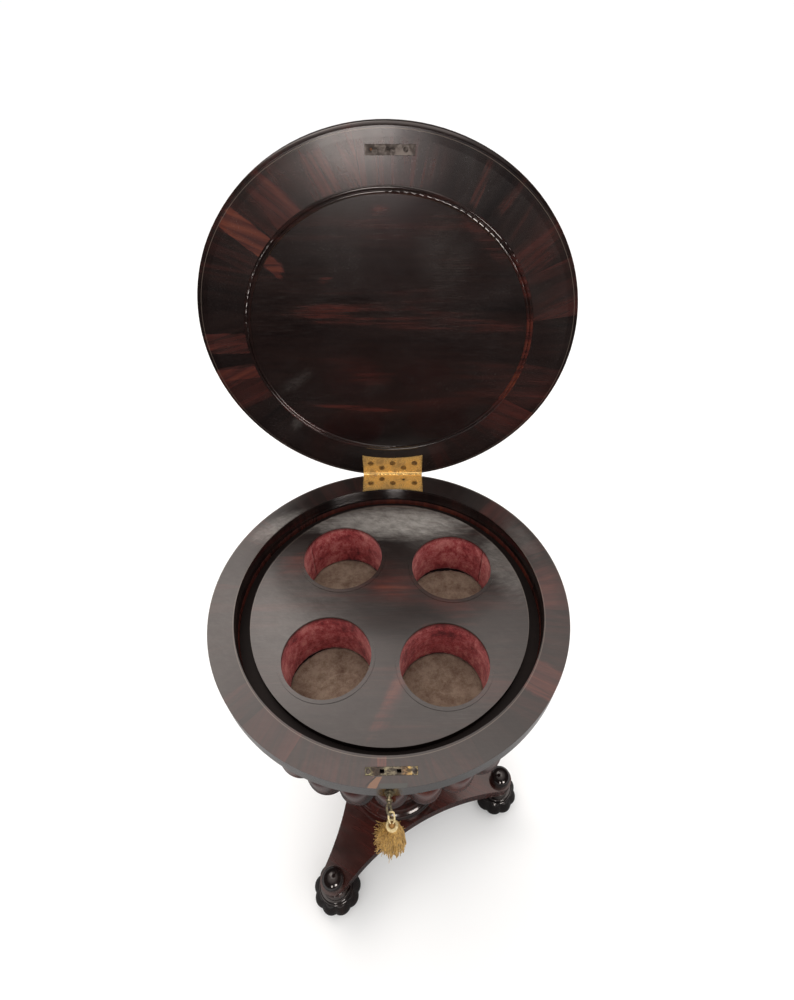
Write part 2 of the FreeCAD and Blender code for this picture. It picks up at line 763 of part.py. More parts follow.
# The hinge: two leaves with meshing knuckles on one pin
knuckleCount = 5
knucklePitch = g.hinge_width / knuckleCount
boreRadius = g.pin_radius + g.pin_clearance
rowShares = (0.62, 0.30)
rowSpreadShare = 0.37
farRow, nearRow = [(leafReach - g.knuckle_radius) * share + g.knuckle_radius for share in rowShares]
rowSpread = g.hinge_width * rowSpreadShare
screwPlaces = [(-rowSpread, -farRow), (-rowSpread / 2, -nearRow), (FREE, -farRow),
               (rowSpread / 2, -nearRow), (rowSpread, -farRow)]
rimScrewPlaces = screwPlaces[:3] + screwPlaces[4:]
rimKnuckles = (0, 2, 4)
lidKnuckles = (1, 3)


def hinge_leaf(label, keeps, foot, seatTop, seatDepth, shift=FREE):
    # Drawn about the pin. keeps names the knuckles of this leaf and foot its underside; the
    # screw heads sit in round seats cut down from seatTop.
    corners = [(across - shift, back - hingeReach, *bend)
               for across, back, *bend in leaf_corners(halfHinge, hingeReach, shift)[:2]]
    body = plate(label, corners + [(halfHinge, FREE), (-halfHinge, FREE)], g.leaf_thickness, foot)
    barrel = new_sketch(body, label + "_barrel_circle", "YZ_Plane")
    draw_circles(barrel, [(FREE, FREE)], g.knuckle_radius)
    pad = body.newObject("PartDesign::Pad", label + "_barrel")
    pad.Profile = barrel
    pad.SideType = "Symmetric"
    pad.setExpression("Length", g.hinge_width.formula)
    for number in range(knuckleCount):
        if number in keeps:
            continue
        left = (number - knuckleCount / 2) * knucklePitch - g.knuckle_gap / 2
        right = left + knucklePitch + g.knuckle_gap
        if number == 0:
            left = left - g.overrun
        if number == knuckleCount - 1:
            right = right + g.overrun
        gap = new_sketch(body, f"{label}_gap_outline_{number}")
        draw_outline(gap, box_corners(left, right, -knuckleRoom, knuckleRoom))
        cut_through(body, f"{label}_gap_{number}", gap)
    bore = new_sketch(body, label + "_bore_circle", "YZ_Plane")
    draw_circles(bore, [(FREE, FREE)], boreRadius)
    cut_through(body, label + "_bore", bore)
    drill(body, label + "_screw_holes", screwPlaces, g.screw_shank_radius + g.joint_clearance)
    sink(body, label + "_head_seats", screwPlaces, g.screw_head_radius + g.joint_clearance,
         seatTop, seatDepth)
    return body


rimLeaf = hinge_leaf("hinge_leaf_rim", rimKnuckles, -g.leaf_thickness, FREE, g.screw_head_height,
                     g.lid_shift)
place(rimLeaf, g.lid_shift, hingeReach, g.rim_height)
place(rod("hinge_pin", g.pin_radius, g.hinge_width), g.lid_shift, hingeReach, g.rim_height)
rimScrews = screws("hinge_screws_rim", rimScrewPlaces, g.screw_length)
place(rimScrews, g.lid_shift, hingeReach, g.rim_height - g.screw_head_height)

# The lock: a plate on the rim over a case, its sliding bolt and the plate's two screws
slotGap = g.mortise_gap
halfStaple = g.staple_length / 2
stapleCentres = (g.staple_shift - g.staple_spread / 2, g.staple_shift + g.staple_spread / 2)
smallShank = g.screw_shank_radius * g.small_screw_share
smallHead = g.screw_head_radius * g.small_screw_share
smallHeadHeight = g.screw_head_height * g.small_screw_share
lockScrewShare = 0.89
lockScrewPlaces = [(g.lock_shift - halfSelvage * lockScrewShare, FREE),
                   (g.lock_shift + halfSelvage * lockScrewShare, FREE)]

selvage = plate("lock_selvage",
                box_corners(g.lock_shift - halfSelvage, g.lock_shift + halfSelvage,
                            -g.selvage_width / 2, g.selvage_width / 2),
                g.selvage_thickness, -g.selvage_thickness)
drill(selvage, "selvage_screw_holes", lockScrewPlaces, smallShank + g.joint_clearance)
sink(selvage, "selvage_head_seats", lockScrewPlaces, smallHead + g.joint_clearance, FREE, smallHeadHeight)
for number, centre in enumerate(stapleCentres):
    slot = new_sketch(selvage, f"staple_slot_outline_{number}")
    draw_outline(slot, box_corners(centre - halfStaple - slotGap, centre + halfStaple + slotGap,
                                   -g.staple_width / 2 - slotGap, g.staple_width / 2 + slotGap))
    cut_through(selvage, f"staple_slot_{number}", slot)
place(selvage, back=-lockReach, up=g.rim_height)
lockScrews = screws("lock_screws", lockScrewPlaces, g.screw_length, g.small_screw_share)
place(lockScrews, back=-lockReach, up=g.rim_height - smallHeadHeight)


def case_box(wall):
    return box_corners(g.lock_shift - halfCase + wall, g.lock_shift + halfCase - wall,
                       -g.case_width / 2 + wall, g.case_width / 2 - wall)


case = plate("lock_case", case_box(FREE), g.case_height, -caseTop - g.case_height)
mortise(case, "case_room", case_box(g.case_wall), -caseTop, g.case_height - g.case_wall)
keyhole(case, "case_keyhole", -g.key_drop)
place(case, back=-lockReach, up=g.rim_height)

# the bolt's tongues stand beside the staples' eyes, one throw short of them
barFoot = -caseTop - g.case_height + g.case_wall + g.board_gap
tongueTop = -g.staple_drop / 2
tongueShare = 0.28
barShare = 1.4
tongueHeight = g.staple_drop * tongueShare
barHeight = tongueHeight * barShare
tongueReach = g.bolt_throw + g.bolt_width
tips = [centre - halfStaple - g.mortise_gap * 2 for centre in stapleCentres]
barLeft = tips[0] - tongueReach
postWide = g.bolt_width
comb = [(barLeft, barFoot), (tips[1], barFoot), (tips[1], barFoot + barHeight)]
comb += [(tips[1] - tongueReach + postWide, barFoot + barHeight),
         (tips[1] - tongueReach + postWide, tongueTop - tongueHeight), (tips[1], tongueTop - tongueHeight),
         (tips[1], tongueTop), (tips[1] - tongueReach, tongueTop),
         (tips[1] - tongueReach, barFoot + barHeight)]
comb += [(barLeft + postWide, barFoot + barHeight), (barLeft + postWide, tongueTop - tongueHeight),
         (tips[0], tongueTop - tongueHeight), (tips[0], tongueTop), (barLeft, tongueTop)]
place(plate("lock_bolt", comb, g.bolt_width, role="XZ_Plane", both=True), back=-lockReach, up=g.rim_height)

escutcheon = new_body("key_escutcheon")
roundSketch = new_sketch(escutcheon, "escutcheon_circle", "XZ_Plane")
draw_circles(roundSketch, [(FREE, FREE)], g.escutcheon_radius)
roundPad = escutcheon.newObject("PartDesign::Pad", "escutcheon_pad")
roundPad.Profile = roundSketch
roundPad.setExpression("Length", g.escutcheon_thickness.formula)
keyhole(escutcheon, "escutcheon_keyhole", FREE)
place(escutcheon, back=-g.rim_radius - g.pin_clearance, up=g.rim_height - g.key_drop)

# The key: drawn upright with the band's face at zero, then turned to point forward
keyTip = lockReach + g.bolt_width / 2 + g.mortise_gap - g.rim_radius
keyCollarShare = 1.55
keyCollarShares = ((0.16, 0.36), (0.60, 0.78))
shankOutline = [(FREE, keyTip), (g.key_radius, keyTip)]
for start, stop in keyCollarShares:
    shankOutline += [(g.key_radius, g.key_reach * start),
                     (g.key_radius * keyCollarShare, g.key_reach * start, g.key_radius),
                     (g.key_radius * keyCollarShare, g.key_reach * stop), (g.key_radius, g.key_reach * stop)]
shankOutline += [(g.key_radius, g.key_reach), (FREE, g.key_reach)]
shank = turned("key_shank", shankOutline)
bow = doc.addObject("Part::Torus", "key_bow")
bow.setExpression("Radius1", g.bow_radius.formula)
bow.setExpression("Radius2", g.bow_wire.formula)
bow.setExpression("Placement.Base.z", (g.key_reach + g.bow_radius).formula)
upright = FreeCAD.Rotation(FreeCAD.Vector(0, 1, 0), 90.0)
bow.Placement = FreeCAD.Placement(
    FreeCAD.Vector(0, 0, 0), FreeCAD.Rotation(FreeCAD.Vector(0, 0, 1), bowTilt) * upright)
bit = doc.addObject("Part::Box", "key_bit")
bit.setExpression("Length", g.bit_thickness.formula)
bit.setExpression("Width", g.bit_length.formula)
bit.setExpression("Height", g.bit_height.formula)
bit.setExpression("Placement.Base.x", (-g.bit_thickness / 2).formula)
bit.setExpression("Placement.Base.y", (-g.bit_length).formula)
bit.setExpression("Placement.Base.z", keyTip.formula)
key = join("Part::MultiFuse", "key", [shank, bow, bit])
place(key, back=-g.rim_radius, up=g.rim_height - g.key_drop)
tilt(key, (1, 0, 0), 90.0)

# The tassel hangs from the lowest point of the bow, on a loop of cord
bowLean = math.radians(bowTilt)
hangAcross = g.bow_radius * math.sin(bowLean)
hangBack = -g.rim_radius - g.key_reach - g.bow_radius
hangUp = g.rim_height - g.key_drop - g.bow_radius * math.cos(bowLean)
knotUp = hangUp - g.cord_drop

# the cord's route on one side of the bow, from the top down: across and up from the bow's wire
cordTurn = g.bow_wire + g.cord_radius + g.cord_gap
cordEnd = -g.cord_drop + g.knot_radius + g.cord_gap
cordSideShares = (0.17, 0.48, 0.80)
cordBulgeShares = (0.85, 1.0, 0.84)
cordSide = [(cordTurn, cordTurn)]
for sideShare, bulgeShare in zip(cordSideShares, cordBulgeShares):
    cordSide.append((g.cord_bulge * bulgeShare, cordEnd * sideShare))
cordSide.append((g.cord_foot, cordEnd))
cordRoute = [(-across, up) for across, up in reversed(cordSide)] + cordSide
bendShare = 0.45


def cord_path(route):
    # straight runs joined by tangent arcs, each as large as its two runs allow
    points = [FreeCAD.Vector(float(across), 0, float(up)) for across, up in route]
    edges = []
    begin = points[0]
    for before, corner, after in zip(points, points[1:], points[2:]):
        inward = (corner - before).normalize()
        outward = (after - corner).normalize()
        reach = bendShare * min((corner - before).Length, (after - corner).Length)
        bend = inward.getAngle(outward)
        radius = reach / math.tan(bend / 2)
        print(f"cord bend radius {radius:8.2f} mm")
        entry = corner - inward * reach
        leave = corner + outward * reach
        middle = corner + (outward - inward).normalize() * (radius / math.cos(bend / 2) - radius)
        edges.append(Part.LineSegment(begin, entry).toShape())
        edges.append(Part.Arc(entry, middle, leave).toShape())
        begin = leave
    edges.append(Part.LineSegment(begin, points[-1]).toShape())
    return Part.Wire(edges)


cordPath = cord_path(cordRoute)
cordStart = cordPath.Edges[0]
cordCircle = Part.Circle(cordStart.valueAt(0), cordStart.tangentAt(0), float(g.cord_radius))
cord = doc.addObject("Part::Feature", "tassel_cord")
cord.Label = "tassel_cord"
cord.Shape = cordPath.makePipeShell([Part.Wire([cordCircle.toShape()])], True, False)
place(cord, hangAcross, hangBack, hangUp)
print(f"cord length {cordPath.Length:.2f} mm, volume {cord.Shape.Volume:.2f} mm3,"
      f" section by length {math.pi * g.cord_radius ** 2 * cordPath.Length:.2f} mm3")

# the knot: a ball about the point it swings from, over a ring of cord
ringTop = -g.neck_drop + g.neck_ring_wire * 2
ballSide = root(g.knot_radius * g.knot_radius - ringTop * ringTop)
fullShare = 1.05
knot = turned("tassel_knot", [
    (FREE, -g.neck_drop), (g.neck_ring_radius, -g.neck_drop, g.neck_ring_wire * fullShare),
    (g.neck_ring_radius, ringTop), (ballSide, ringTop, g.knot_radius), (FREE, g.knot_radius)])
place(knot, hangAcross, hangBack, knotUp)

bandFoot = -g.neck_drop - g.tassel_band_height
bandRoundShare = 0.7
band = turned("tassel_collar", [
    (FREE, FREE), (g.tassel_band_radius, FREE, g.tassel_band_height * bandRoundShare),
    (g.tassel_band_radius, g.tassel_band_height), (FREE, g.tassel_band_height)])
place(band, hangAcross, hangBack, knotUp + bandFoot)

skirtShares = ((0.93, 0.0), (1.0, 0.30), (0.97, 0.70), (0.80, 0.90))
skirtOutline = [(FREE, FREE)]
for radiusShare, heightShare in skirtShares:
    skirtOutline.append((g.skirt_radius * radiusShare, g.skirt_length * heightShare, g.skirt_length))
skirtOutline += [(g.skirt_top_radius, g.skirt_length), (FREE, g.skirt_length)]
skirt = turned("tassel_skirt", skirtOutline)
place(skirt, hangAcross, hangBack, knotUp + bandFoot - g.skirt_length)


# The lid, drawn shut and centred on its own axis, underside at zero, then swung about the pin
def lid_place(item, reach=FREE, sunk=FREE, turn=0.0):
    # reach is how far behind the lid's centre the piece was drawn, and sunk how deep in the lid
    away = hingeReach - reach
    leanSine, leanCosine = sine(g.lid_open_angle), cosine(g.lid_open_angle)
    place(item, g.lid_shift, hingeReach - away * leanCosine + sunk * leanSine,
          g.rim_height + away * leanSine + sunk * leanCosine)
    return tilt(item, (1, 0, 0), turn - float(g.lid_open_angle))


def lid_mortises(body, name):
    mortise(body, name + "_leaf", leaf_corners(mortiseHalf, hingeReach + g.overrun), leafSeat,
            leafSeat + g.overrun)
    mortise(body, name + "_barrel",
            box_corners(-mortiseHalf, mortiseHalf, barrelFront, hingeReach + g.overrun),
            knuckleRoom, knuckleRoom + g.overrun)


lidInner = lidRadius - g.lid_edge_width
beadRadius = lidRadius - g.bead_inset
beadInner = beadRadius - g.bead_width / 2
beadOuter = beadRadius + g.bead_width / 2
beadArcShare = 0.27
beadArc = g.bead_width * beadArcShare
edgeArcShare = 1.5
edgeBellyShare = 0.45
edgeTopShare = 0.8

lidBoard = disc("lid_board", lidInner, g.veneer, g.lid_thickness - g.veneer)
lid_mortises(lidBoard, "board_hinge")
lid_place(lidBoard)

lid_place(disc("lid_top_veneer", lidInner, g.lid_thickness - g.veneer, g.lid_thickness))

edge = turned("lid_edge_moulding", [
    (lidInner, FREE), (lidRadius - g.edge_round, FREE, g.edge_round * edgeArcShare),
    (lidRadius, g.edge_round), (lidRadius, g.lid_thickness * edgeBellyShare, g.lid_thickness),
    (lidRadius - g.lid_edge_width * edgeTopShare, g.lid_thickness), (lidInner, g.lid_thickness)])
lid_mortises(edge, "edge_hinge")
lid_place(edge)

lidBand = ring("lid_crossband", beadOuter, lidInner, FREE, g.veneer)
lid_mortises(lidBand, "lid_band_hinge")
halfLink = g.link_length / 2 + g.board_gap
linkDepth = g.link_width / 2 + g.board_gap
mortise(lidBand, "lid_band_link", box_corners(g.link_shift - halfLink, g.link_shift + halfLink,
                                              -lockReach - linkDepth, -lockReach + linkDepth),
        g.veneer, g.veneer + g.overrun)
lid_place(lidBand)

lid_place(disc("lid_panel", beadInner, FREE, g.veneer))
lid_place(turned("lid_bead", [
    (beadInner, FREE, beadArc), (beadRadius, FREE, beadArc), (beadOuter, FREE),
    (beadOuter, g.veneer), (beadInner, g.veneer)]))

lidLeaf = hinge_leaf("hinge_leaf_lid", lidKnuckles, FREE, g.screw_head_height,
                     g.screw_head_height + g.overrun)
lid_place(lidLeaf, hingeReach)
# the lid's screws are drawn heads up too, so each row is turned over
flip = 180.0
lidScrews = screws("hinge_screws_lid", [(across, -back) for across, back in screwPlaces], g.screw_length)
lid_place(lidScrews, hingeReach, g.screw_head_height, flip)

link = plate("link_plate",
             box_corners(g.link_shift - g.link_length / 2, g.link_shift + g.link_length / 2,
                         -g.link_width / 2, g.link_width / 2),
             g.selvage_thickness)
for number, slotCentre in enumerate(stapleCentres):
    centre = slotCentre - g.lid_shift
    stapleSketch = new_sketch(link, f"staple_outline_{number}")
    draw_outline(stapleSketch, box_corners(centre - halfStaple, centre + halfStaple,
                                           -g.staple_width / 2, g.staple_width / 2))
    staple = link.newObject("PartDesign::Pad", f"staple_{number}")
    staple.Profile = stapleSketch
    staple.Reversed = True
    staple.setExpression("Length", g.staple_drop.formula)
eye = new_sketch(link, "staple_eye_outline", "YZ_Plane")
eyeHalf = g.bolt_width / 2 + g.mortise_gap
draw_outline(eye, box_corners(-eyeHalf, eyeHalf, tongueTop - tongueHeight - g.mortise_gap,
                              tongueTop + g.mortise_gap))
cut_through(link, "staple_eyes", eye)
# three holes, of which the outer one on the lock's left has lost its screw
linkHoleShares = (-0.38, -0.05, 0.31)
linkHoles = [(g.link_shift + g.link_length * share, FREE) for share in linkHoleShares]
drill(link, "link_screw_holes", linkHoles, smallShank + g.joint_clearance)
sink(link, "link_head_seats", linkHoles, smallHead + g.joint_clearance, smallHeadHeight,
     smallHeadHeight + g.overrun)
lid_place(link, -lockReach)
linkScrews = screws("link_plate_screws", [(across, FREE) for across, back in linkHoles[1:]],
                    g.screw_length, g.small_screw_share)
lid_place(linkScrews, -lockReach, smallHeadHeight, flip)

doc.recompute()

# Every sub-part is checked before anything is written
for item in doc.Objects:
    if "Invalid" in item.State or "Error" in item.State:
        raise RuntimeError(f"{item.Label} did not build: {item.State}")
for item in nodes:
    if item.Shape.isNull() or not item.Shape.isValid():
        raise RuntimeError(f"{item.Label} has no sound shape")
for item in nodes:
    item.Shape.exportStep(f"parts/{item.Label}.step")
    corners = item.Shape.BoundBox
    print(f"{item.Label:24s} {item.Shape.Volume / 1000:10.2f} cm3  solids {len(item.Shape.Solids)}  "
          f"x {corners.XMin:8.2f} {corners.XMax:8.2f}  y {corners.YMin:8.2f} {corners.YMax:8.2f}  "
          f"z {corners.ZMin:8.2f} {corners.ZMax:8.2f}")
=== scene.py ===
import math
import random

import bmesh
import bpy
from mathutils import Matrix, Vector


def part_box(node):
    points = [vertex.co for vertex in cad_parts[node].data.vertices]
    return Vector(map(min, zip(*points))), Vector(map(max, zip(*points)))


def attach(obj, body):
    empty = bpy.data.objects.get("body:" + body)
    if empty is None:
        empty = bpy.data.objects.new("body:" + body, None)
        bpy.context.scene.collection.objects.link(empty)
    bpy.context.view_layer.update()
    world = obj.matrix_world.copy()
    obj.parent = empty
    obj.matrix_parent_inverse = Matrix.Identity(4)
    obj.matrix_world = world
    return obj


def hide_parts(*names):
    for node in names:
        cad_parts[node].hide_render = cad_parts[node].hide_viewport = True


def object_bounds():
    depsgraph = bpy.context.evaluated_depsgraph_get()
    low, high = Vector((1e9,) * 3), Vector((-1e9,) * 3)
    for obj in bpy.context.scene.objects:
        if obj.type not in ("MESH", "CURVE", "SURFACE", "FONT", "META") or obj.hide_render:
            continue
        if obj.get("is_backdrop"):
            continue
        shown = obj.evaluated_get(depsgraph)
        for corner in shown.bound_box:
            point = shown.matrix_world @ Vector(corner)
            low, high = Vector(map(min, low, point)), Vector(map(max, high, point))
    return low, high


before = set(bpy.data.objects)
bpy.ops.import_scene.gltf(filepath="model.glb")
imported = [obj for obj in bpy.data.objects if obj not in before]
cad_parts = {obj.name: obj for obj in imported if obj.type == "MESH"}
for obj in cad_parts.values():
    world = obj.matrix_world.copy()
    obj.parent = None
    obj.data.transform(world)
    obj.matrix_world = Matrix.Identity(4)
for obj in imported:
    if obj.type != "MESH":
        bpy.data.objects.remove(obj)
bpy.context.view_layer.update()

# The round rosewood teapoy, dressed for its portrait. Metres, Z up, the floor at zero.
rimLow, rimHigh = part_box("rim_crossband")
rimTop = rimHigh[2]
# the column's axis, where it meets the floor
column = Vector(((rimLow[0] + rimHigh[0]) / 2, (rimLow[1] + rimHigh[1]) / 2, 0.0))
scene = bpy.context.scene


# ---- nodes ----

def put(tree, kind, inputs=None, **settings):
    # one node, its settings and its inputs: a socket is linked and anything else is a value
    item = tree.nodes.new(kind)
    for key, value in settings.items():
        setattr(item, key, value)
    for key, value in (inputs or {}).items():
        if isinstance(value, bpy.types.NodeSocket):
            tree.links.new(value, item.inputs[key])
        else:
            item.inputs[key].default_value = value
    return item


def sums(tree, operation, *values):
    return put(tree, "ShaderNodeMath", dict(enumerate(values)), operation=operation).outputs[0]


def plus(tree, *values):
    return sums(tree, "ADD", *values)


def minus(tree, *values):
    return sums(tree, "SUBTRACT", *values)


def times(tree, *values):
    return sums(tree, "MULTIPLY", *values)


def vectors(tree, operation, *values):
    return put(tree, "ShaderNodeVectorMath", dict(enumerate(values)), operation=operation).outputs[0]


def lengthOf(tree, vector):
    return put(tree, "ShaderNodeVectorMath", {0: vector}, operation="LENGTH").outputs["Value"]


def parts(tree, vector):
    return put(tree, "ShaderNodeSeparateXYZ", {0: vector}).outputs


def joined(tree, **values):
    return put(tree, "ShaderNodeCombineXYZ", values).outputs[0]


def rotated(tree, kind, inputs):
    return put(tree, "ShaderNodeVectorRotate", inputs, rotation_type=kind).outputs[0]


def turnedBack(tree, vector, angle):
    return rotated(tree, "Z_AXIS", {"Vector": vector, "Angle": times(tree, angle, -1.0)})


def stretch(tree, vector, scale=(1, 1, 1), place=(0, 0, 0), turn=(0, 0, 0)):
    # centres, turns and then stretches the coordinates
    moved = vectors(tree, "SUBTRACT", vector, place)
    return vectors(tree, "MULTIPLY", rotated(tree, "EULER_XYZ", {"Vector": moved, "Rotation": turn}), scale)


def blend(tree, share, low, high):
    return put(tree, "ShaderNodeMix", {0: share, 2: low, 3: high}).outputs[0]


def opaque(colour):
    return (*colour, 1.0) if isinstance(colour, tuple) else colour


def blendColours(tree, share, low, high, kind="MIX"):
    inputs = {0: share, 6: opaque(low), 7: opaque(high)}
    return put(tree, "ShaderNodeMix", inputs, data_type="RGBA", blend_type=kind).outputs[2]


def ramp(tree, value, stops):
    item = put(tree, "ShaderNodeValToRGB", {0: value})
    elements = item.color_ramp.elements
    while len(elements) < len(stops):
        elements.new(0.5)
    for element, (place, colour) in zip(elements, stops):
        element.position = place
        element.color = opaque(colour)
    return item.outputs[0]


def spread(tree, value, low, high, newLow=0.0, newHigh=1.0, shape="LINEAR"):
    inputs = {"Value": value, "From Min": low, "From Max": high, "To Min": newLow, "To Max": newHigh}
    return put(tree, "ShaderNodeMapRange", inputs, interpolation_type=shape).outputs[0]


def noise(tree, vector, scale, detail=4.0, rough=0.55, bend=0.0):
    inputs = {"Vector": vector, "Scale": scale, "Detail": detail, "Roughness": rough, "Distortion": bend}
    return put(tree, "ShaderNodeTexNoise", inputs).outputs["Fac"]


def addInputs(tree, wants):
    # one socket for each name, of the kind of its value; a vector without a value is None
    kinds = {float: "NodeSocketFloat", int: "NodeSocketInt"}
    for label, value in wants.items():
        kind = kinds.get(type(value), "NodeSocketVector")
        socket = tree.interface.new_socket(label, in_out="INPUT", socket_type=kind)
        if value is not None:
            socket.default_value = value


def openGroup(name, wants):
    group = bpy.data.node_groups.new(name, "ShaderNodeTree")
    addInputs(group, wants)
    return group, group.nodes.new("NodeGroupInput").outputs


def closeGroup(group, gives):
    for label, value in gives.items():
        kind = "NodeSocketVector" if value.type == "VECTOR" else "NodeSocketFloat"
        group.interface.new_socket(label, in_out="OUTPUT", socket_type=kind)
    put(group, "NodeGroupOutput", gives)
    return group


def useGroup(tree, group, inputs):
    return put(tree, "ShaderNodeGroup", inputs, node_tree=group).outputs


def newMaterial(name):
    material = bpy.data.materials.new(name)
    material.use_nodes = True
    tree = material.node_tree
    tree.nodes.clear()
    return material, tree, put(tree, "ShaderNodeTexCoord").outputs["Object"]


def finish(tree, inputs, height=None, strength=1.0, depth=1.0, form=None):
    # the shader itself, with an optional bump; form is a larger swell in metres
    shader = put(tree, "ShaderNodeBsdfPrincipled", inputs)
    if form is not None:
        height = plus(tree, form, times(tree, height, strength * depth))
        strength, depth = 1.0, 1.0
    if height is not None:
        bump = put(tree, "ShaderNodeBump", {"Strength": strength, "Distance": depth, "Height": height})
        tree.links.new(bump.outputs[0], shader.inputs["Normal"])
    put(tree, "ShaderNodeOutputMaterial", {"Surface": shader.outputs[0]})


# ---- meshes ----

def meshFrom(name, build, *values):
    bm = bmesh.new()
    build(bm, *values)
    bmesh.ops.recalc_face_normals(bm, faces=bm.faces)
    mesh = bpy.data.meshes.new(name)
    bm.to_mesh(mesh)
    bm.free()
    mesh.polygons.foreach_set("use_smooth", [True] * len(mesh.polygons))
    return mesh


def newPiece(mesh, body, material=None, node=None):
    piece = bpy.data.objects.new(mesh.name, mesh)
    scene.collection.objects.link(piece)
    if material is not None:
        mesh.materials.append(material)
    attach(piece, body)
    if node is not None:
        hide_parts(node)
    return piece


def evaluated(item):
    # the item's shape as a plain mesh; the item itself goes
    scene.collection.objects.link(item)
    mesh = bpy.data.meshes.new_from_object(item.evaluated_get(bpy.context.evaluated_depsgraph_get()))
    bpy.data.objects.remove(item)
    return mesh


def around(centre, turn, radius, height):
    return centre + Vector((math.cos(turn) * radius, math.sin(turn) * radius, height))


def joinRings(bm, low, high, closed=True):
    # a strip of faces between two rows of vertices
    count = len(low)
    for side in range(count if closed else count - 1):
        after = (side + 1) % count
        bm.faces.new((low[side], low[after], high[after], high[side]))


# ---- camera, floor and light ----

view = {
    "place": Vector((0.01298, -0.37906, rimTop + 0.57244)),  # from the column's foot
    "down": 0.816, "turn": 0.030, "roll": -0.012,
    "lens": 19.638, "shift": (-0.0138, 0.0039), "clip": (0.02, 200.0),
}


def addCamera():
    sinDown, cosDown = math.sin(view["down"]), math.cos(view["down"])
    sinTurn, cosTurn = math.sin(view["turn"]), math.cos(view["turn"])
    ahead = Vector((sinTurn * cosDown, cosTurn * cosDown, -sinDown))
    level = Vector((cosTurn, -sinTurn, 0.0))
    below = ahead.cross(level)
    right = level * math.cos(view["roll"]) + below * math.sin(view["roll"])
    under = below * math.cos(view["roll"]) - level * math.sin(view["roll"])
    data = bpy.data.cameras.new("portraitCamera")
    data.sensor_width = 36.0
    data.lens = view["lens"]
    data.shift_x, data.shift_y = view["shift"]
    data.clip_start, data.clip_end = view["clip"]
    camera = bpy.data.objects.new("portraitCamera", data)
    turned = Matrix((right, -under, -ahead)).transposed().to_4x4()
    camera.matrix_world = Matrix.Translation(column + view["place"]) @ turned
    scene.collection.objects.link(camera)
    scene.camera = camera


studio = {
    "floor": (0.95, 0.95, 0.95), "floorReach": 40.0,
    # the floor in the polish: its shade below the table, then where each next shade starts and is full
    "mirrorUnder": 0.10, "mirrorRings": ((0.36, 0.43, 0.38), (0.52, 0.95, 0.028), (3.0, 5.5, 0.05)),
    "mirrorRed": (1.0, 0.74, 0.74), "redFrom": 0.5, "redFull": 0.95,
    # a strip of daylight that lies far in front
    "strip": 0.62, "stripTint": (0.86, 0.92, 1.45), "stripSides": (0.04, 0.30), "stripAhead": (-2.4, -5.0),
    "sky": 1.08, "skyTint": (1.0, 0.995, 0.985),
    # the room in the polish, and how far up its ceiling starts and is full
    "room": 0.05, "ceiling": 0.82, "ceilingTint": (1.0, 0.88, 0.82), "ceilingUp": (0.50, 0.88),
    "lampTint": (1.0, 0.905, 0.85),
    "lamps": (  # place, looks at, width, height, power, and whether it lights the velvet and the floor too
        ((0.0, 0.4, 3.4), (0.0, 0.1, 0.7), 2.6, 2.6, 20.0, True),
        ((-1.3, 1.8, 3.4), (0.0, 0.0, 0.7), 2.0, 2.0, 24.0, True),
        ((1.94, -3.5, 0.75), (0.0, 0.0, 0.6), 1.1, 1.3, 62.0, False),
        ((-0.30, -4.0, 0.75), (0.0, 0.0, 0.6), 0.6, 1.3, 30.0, False),
    ),
}


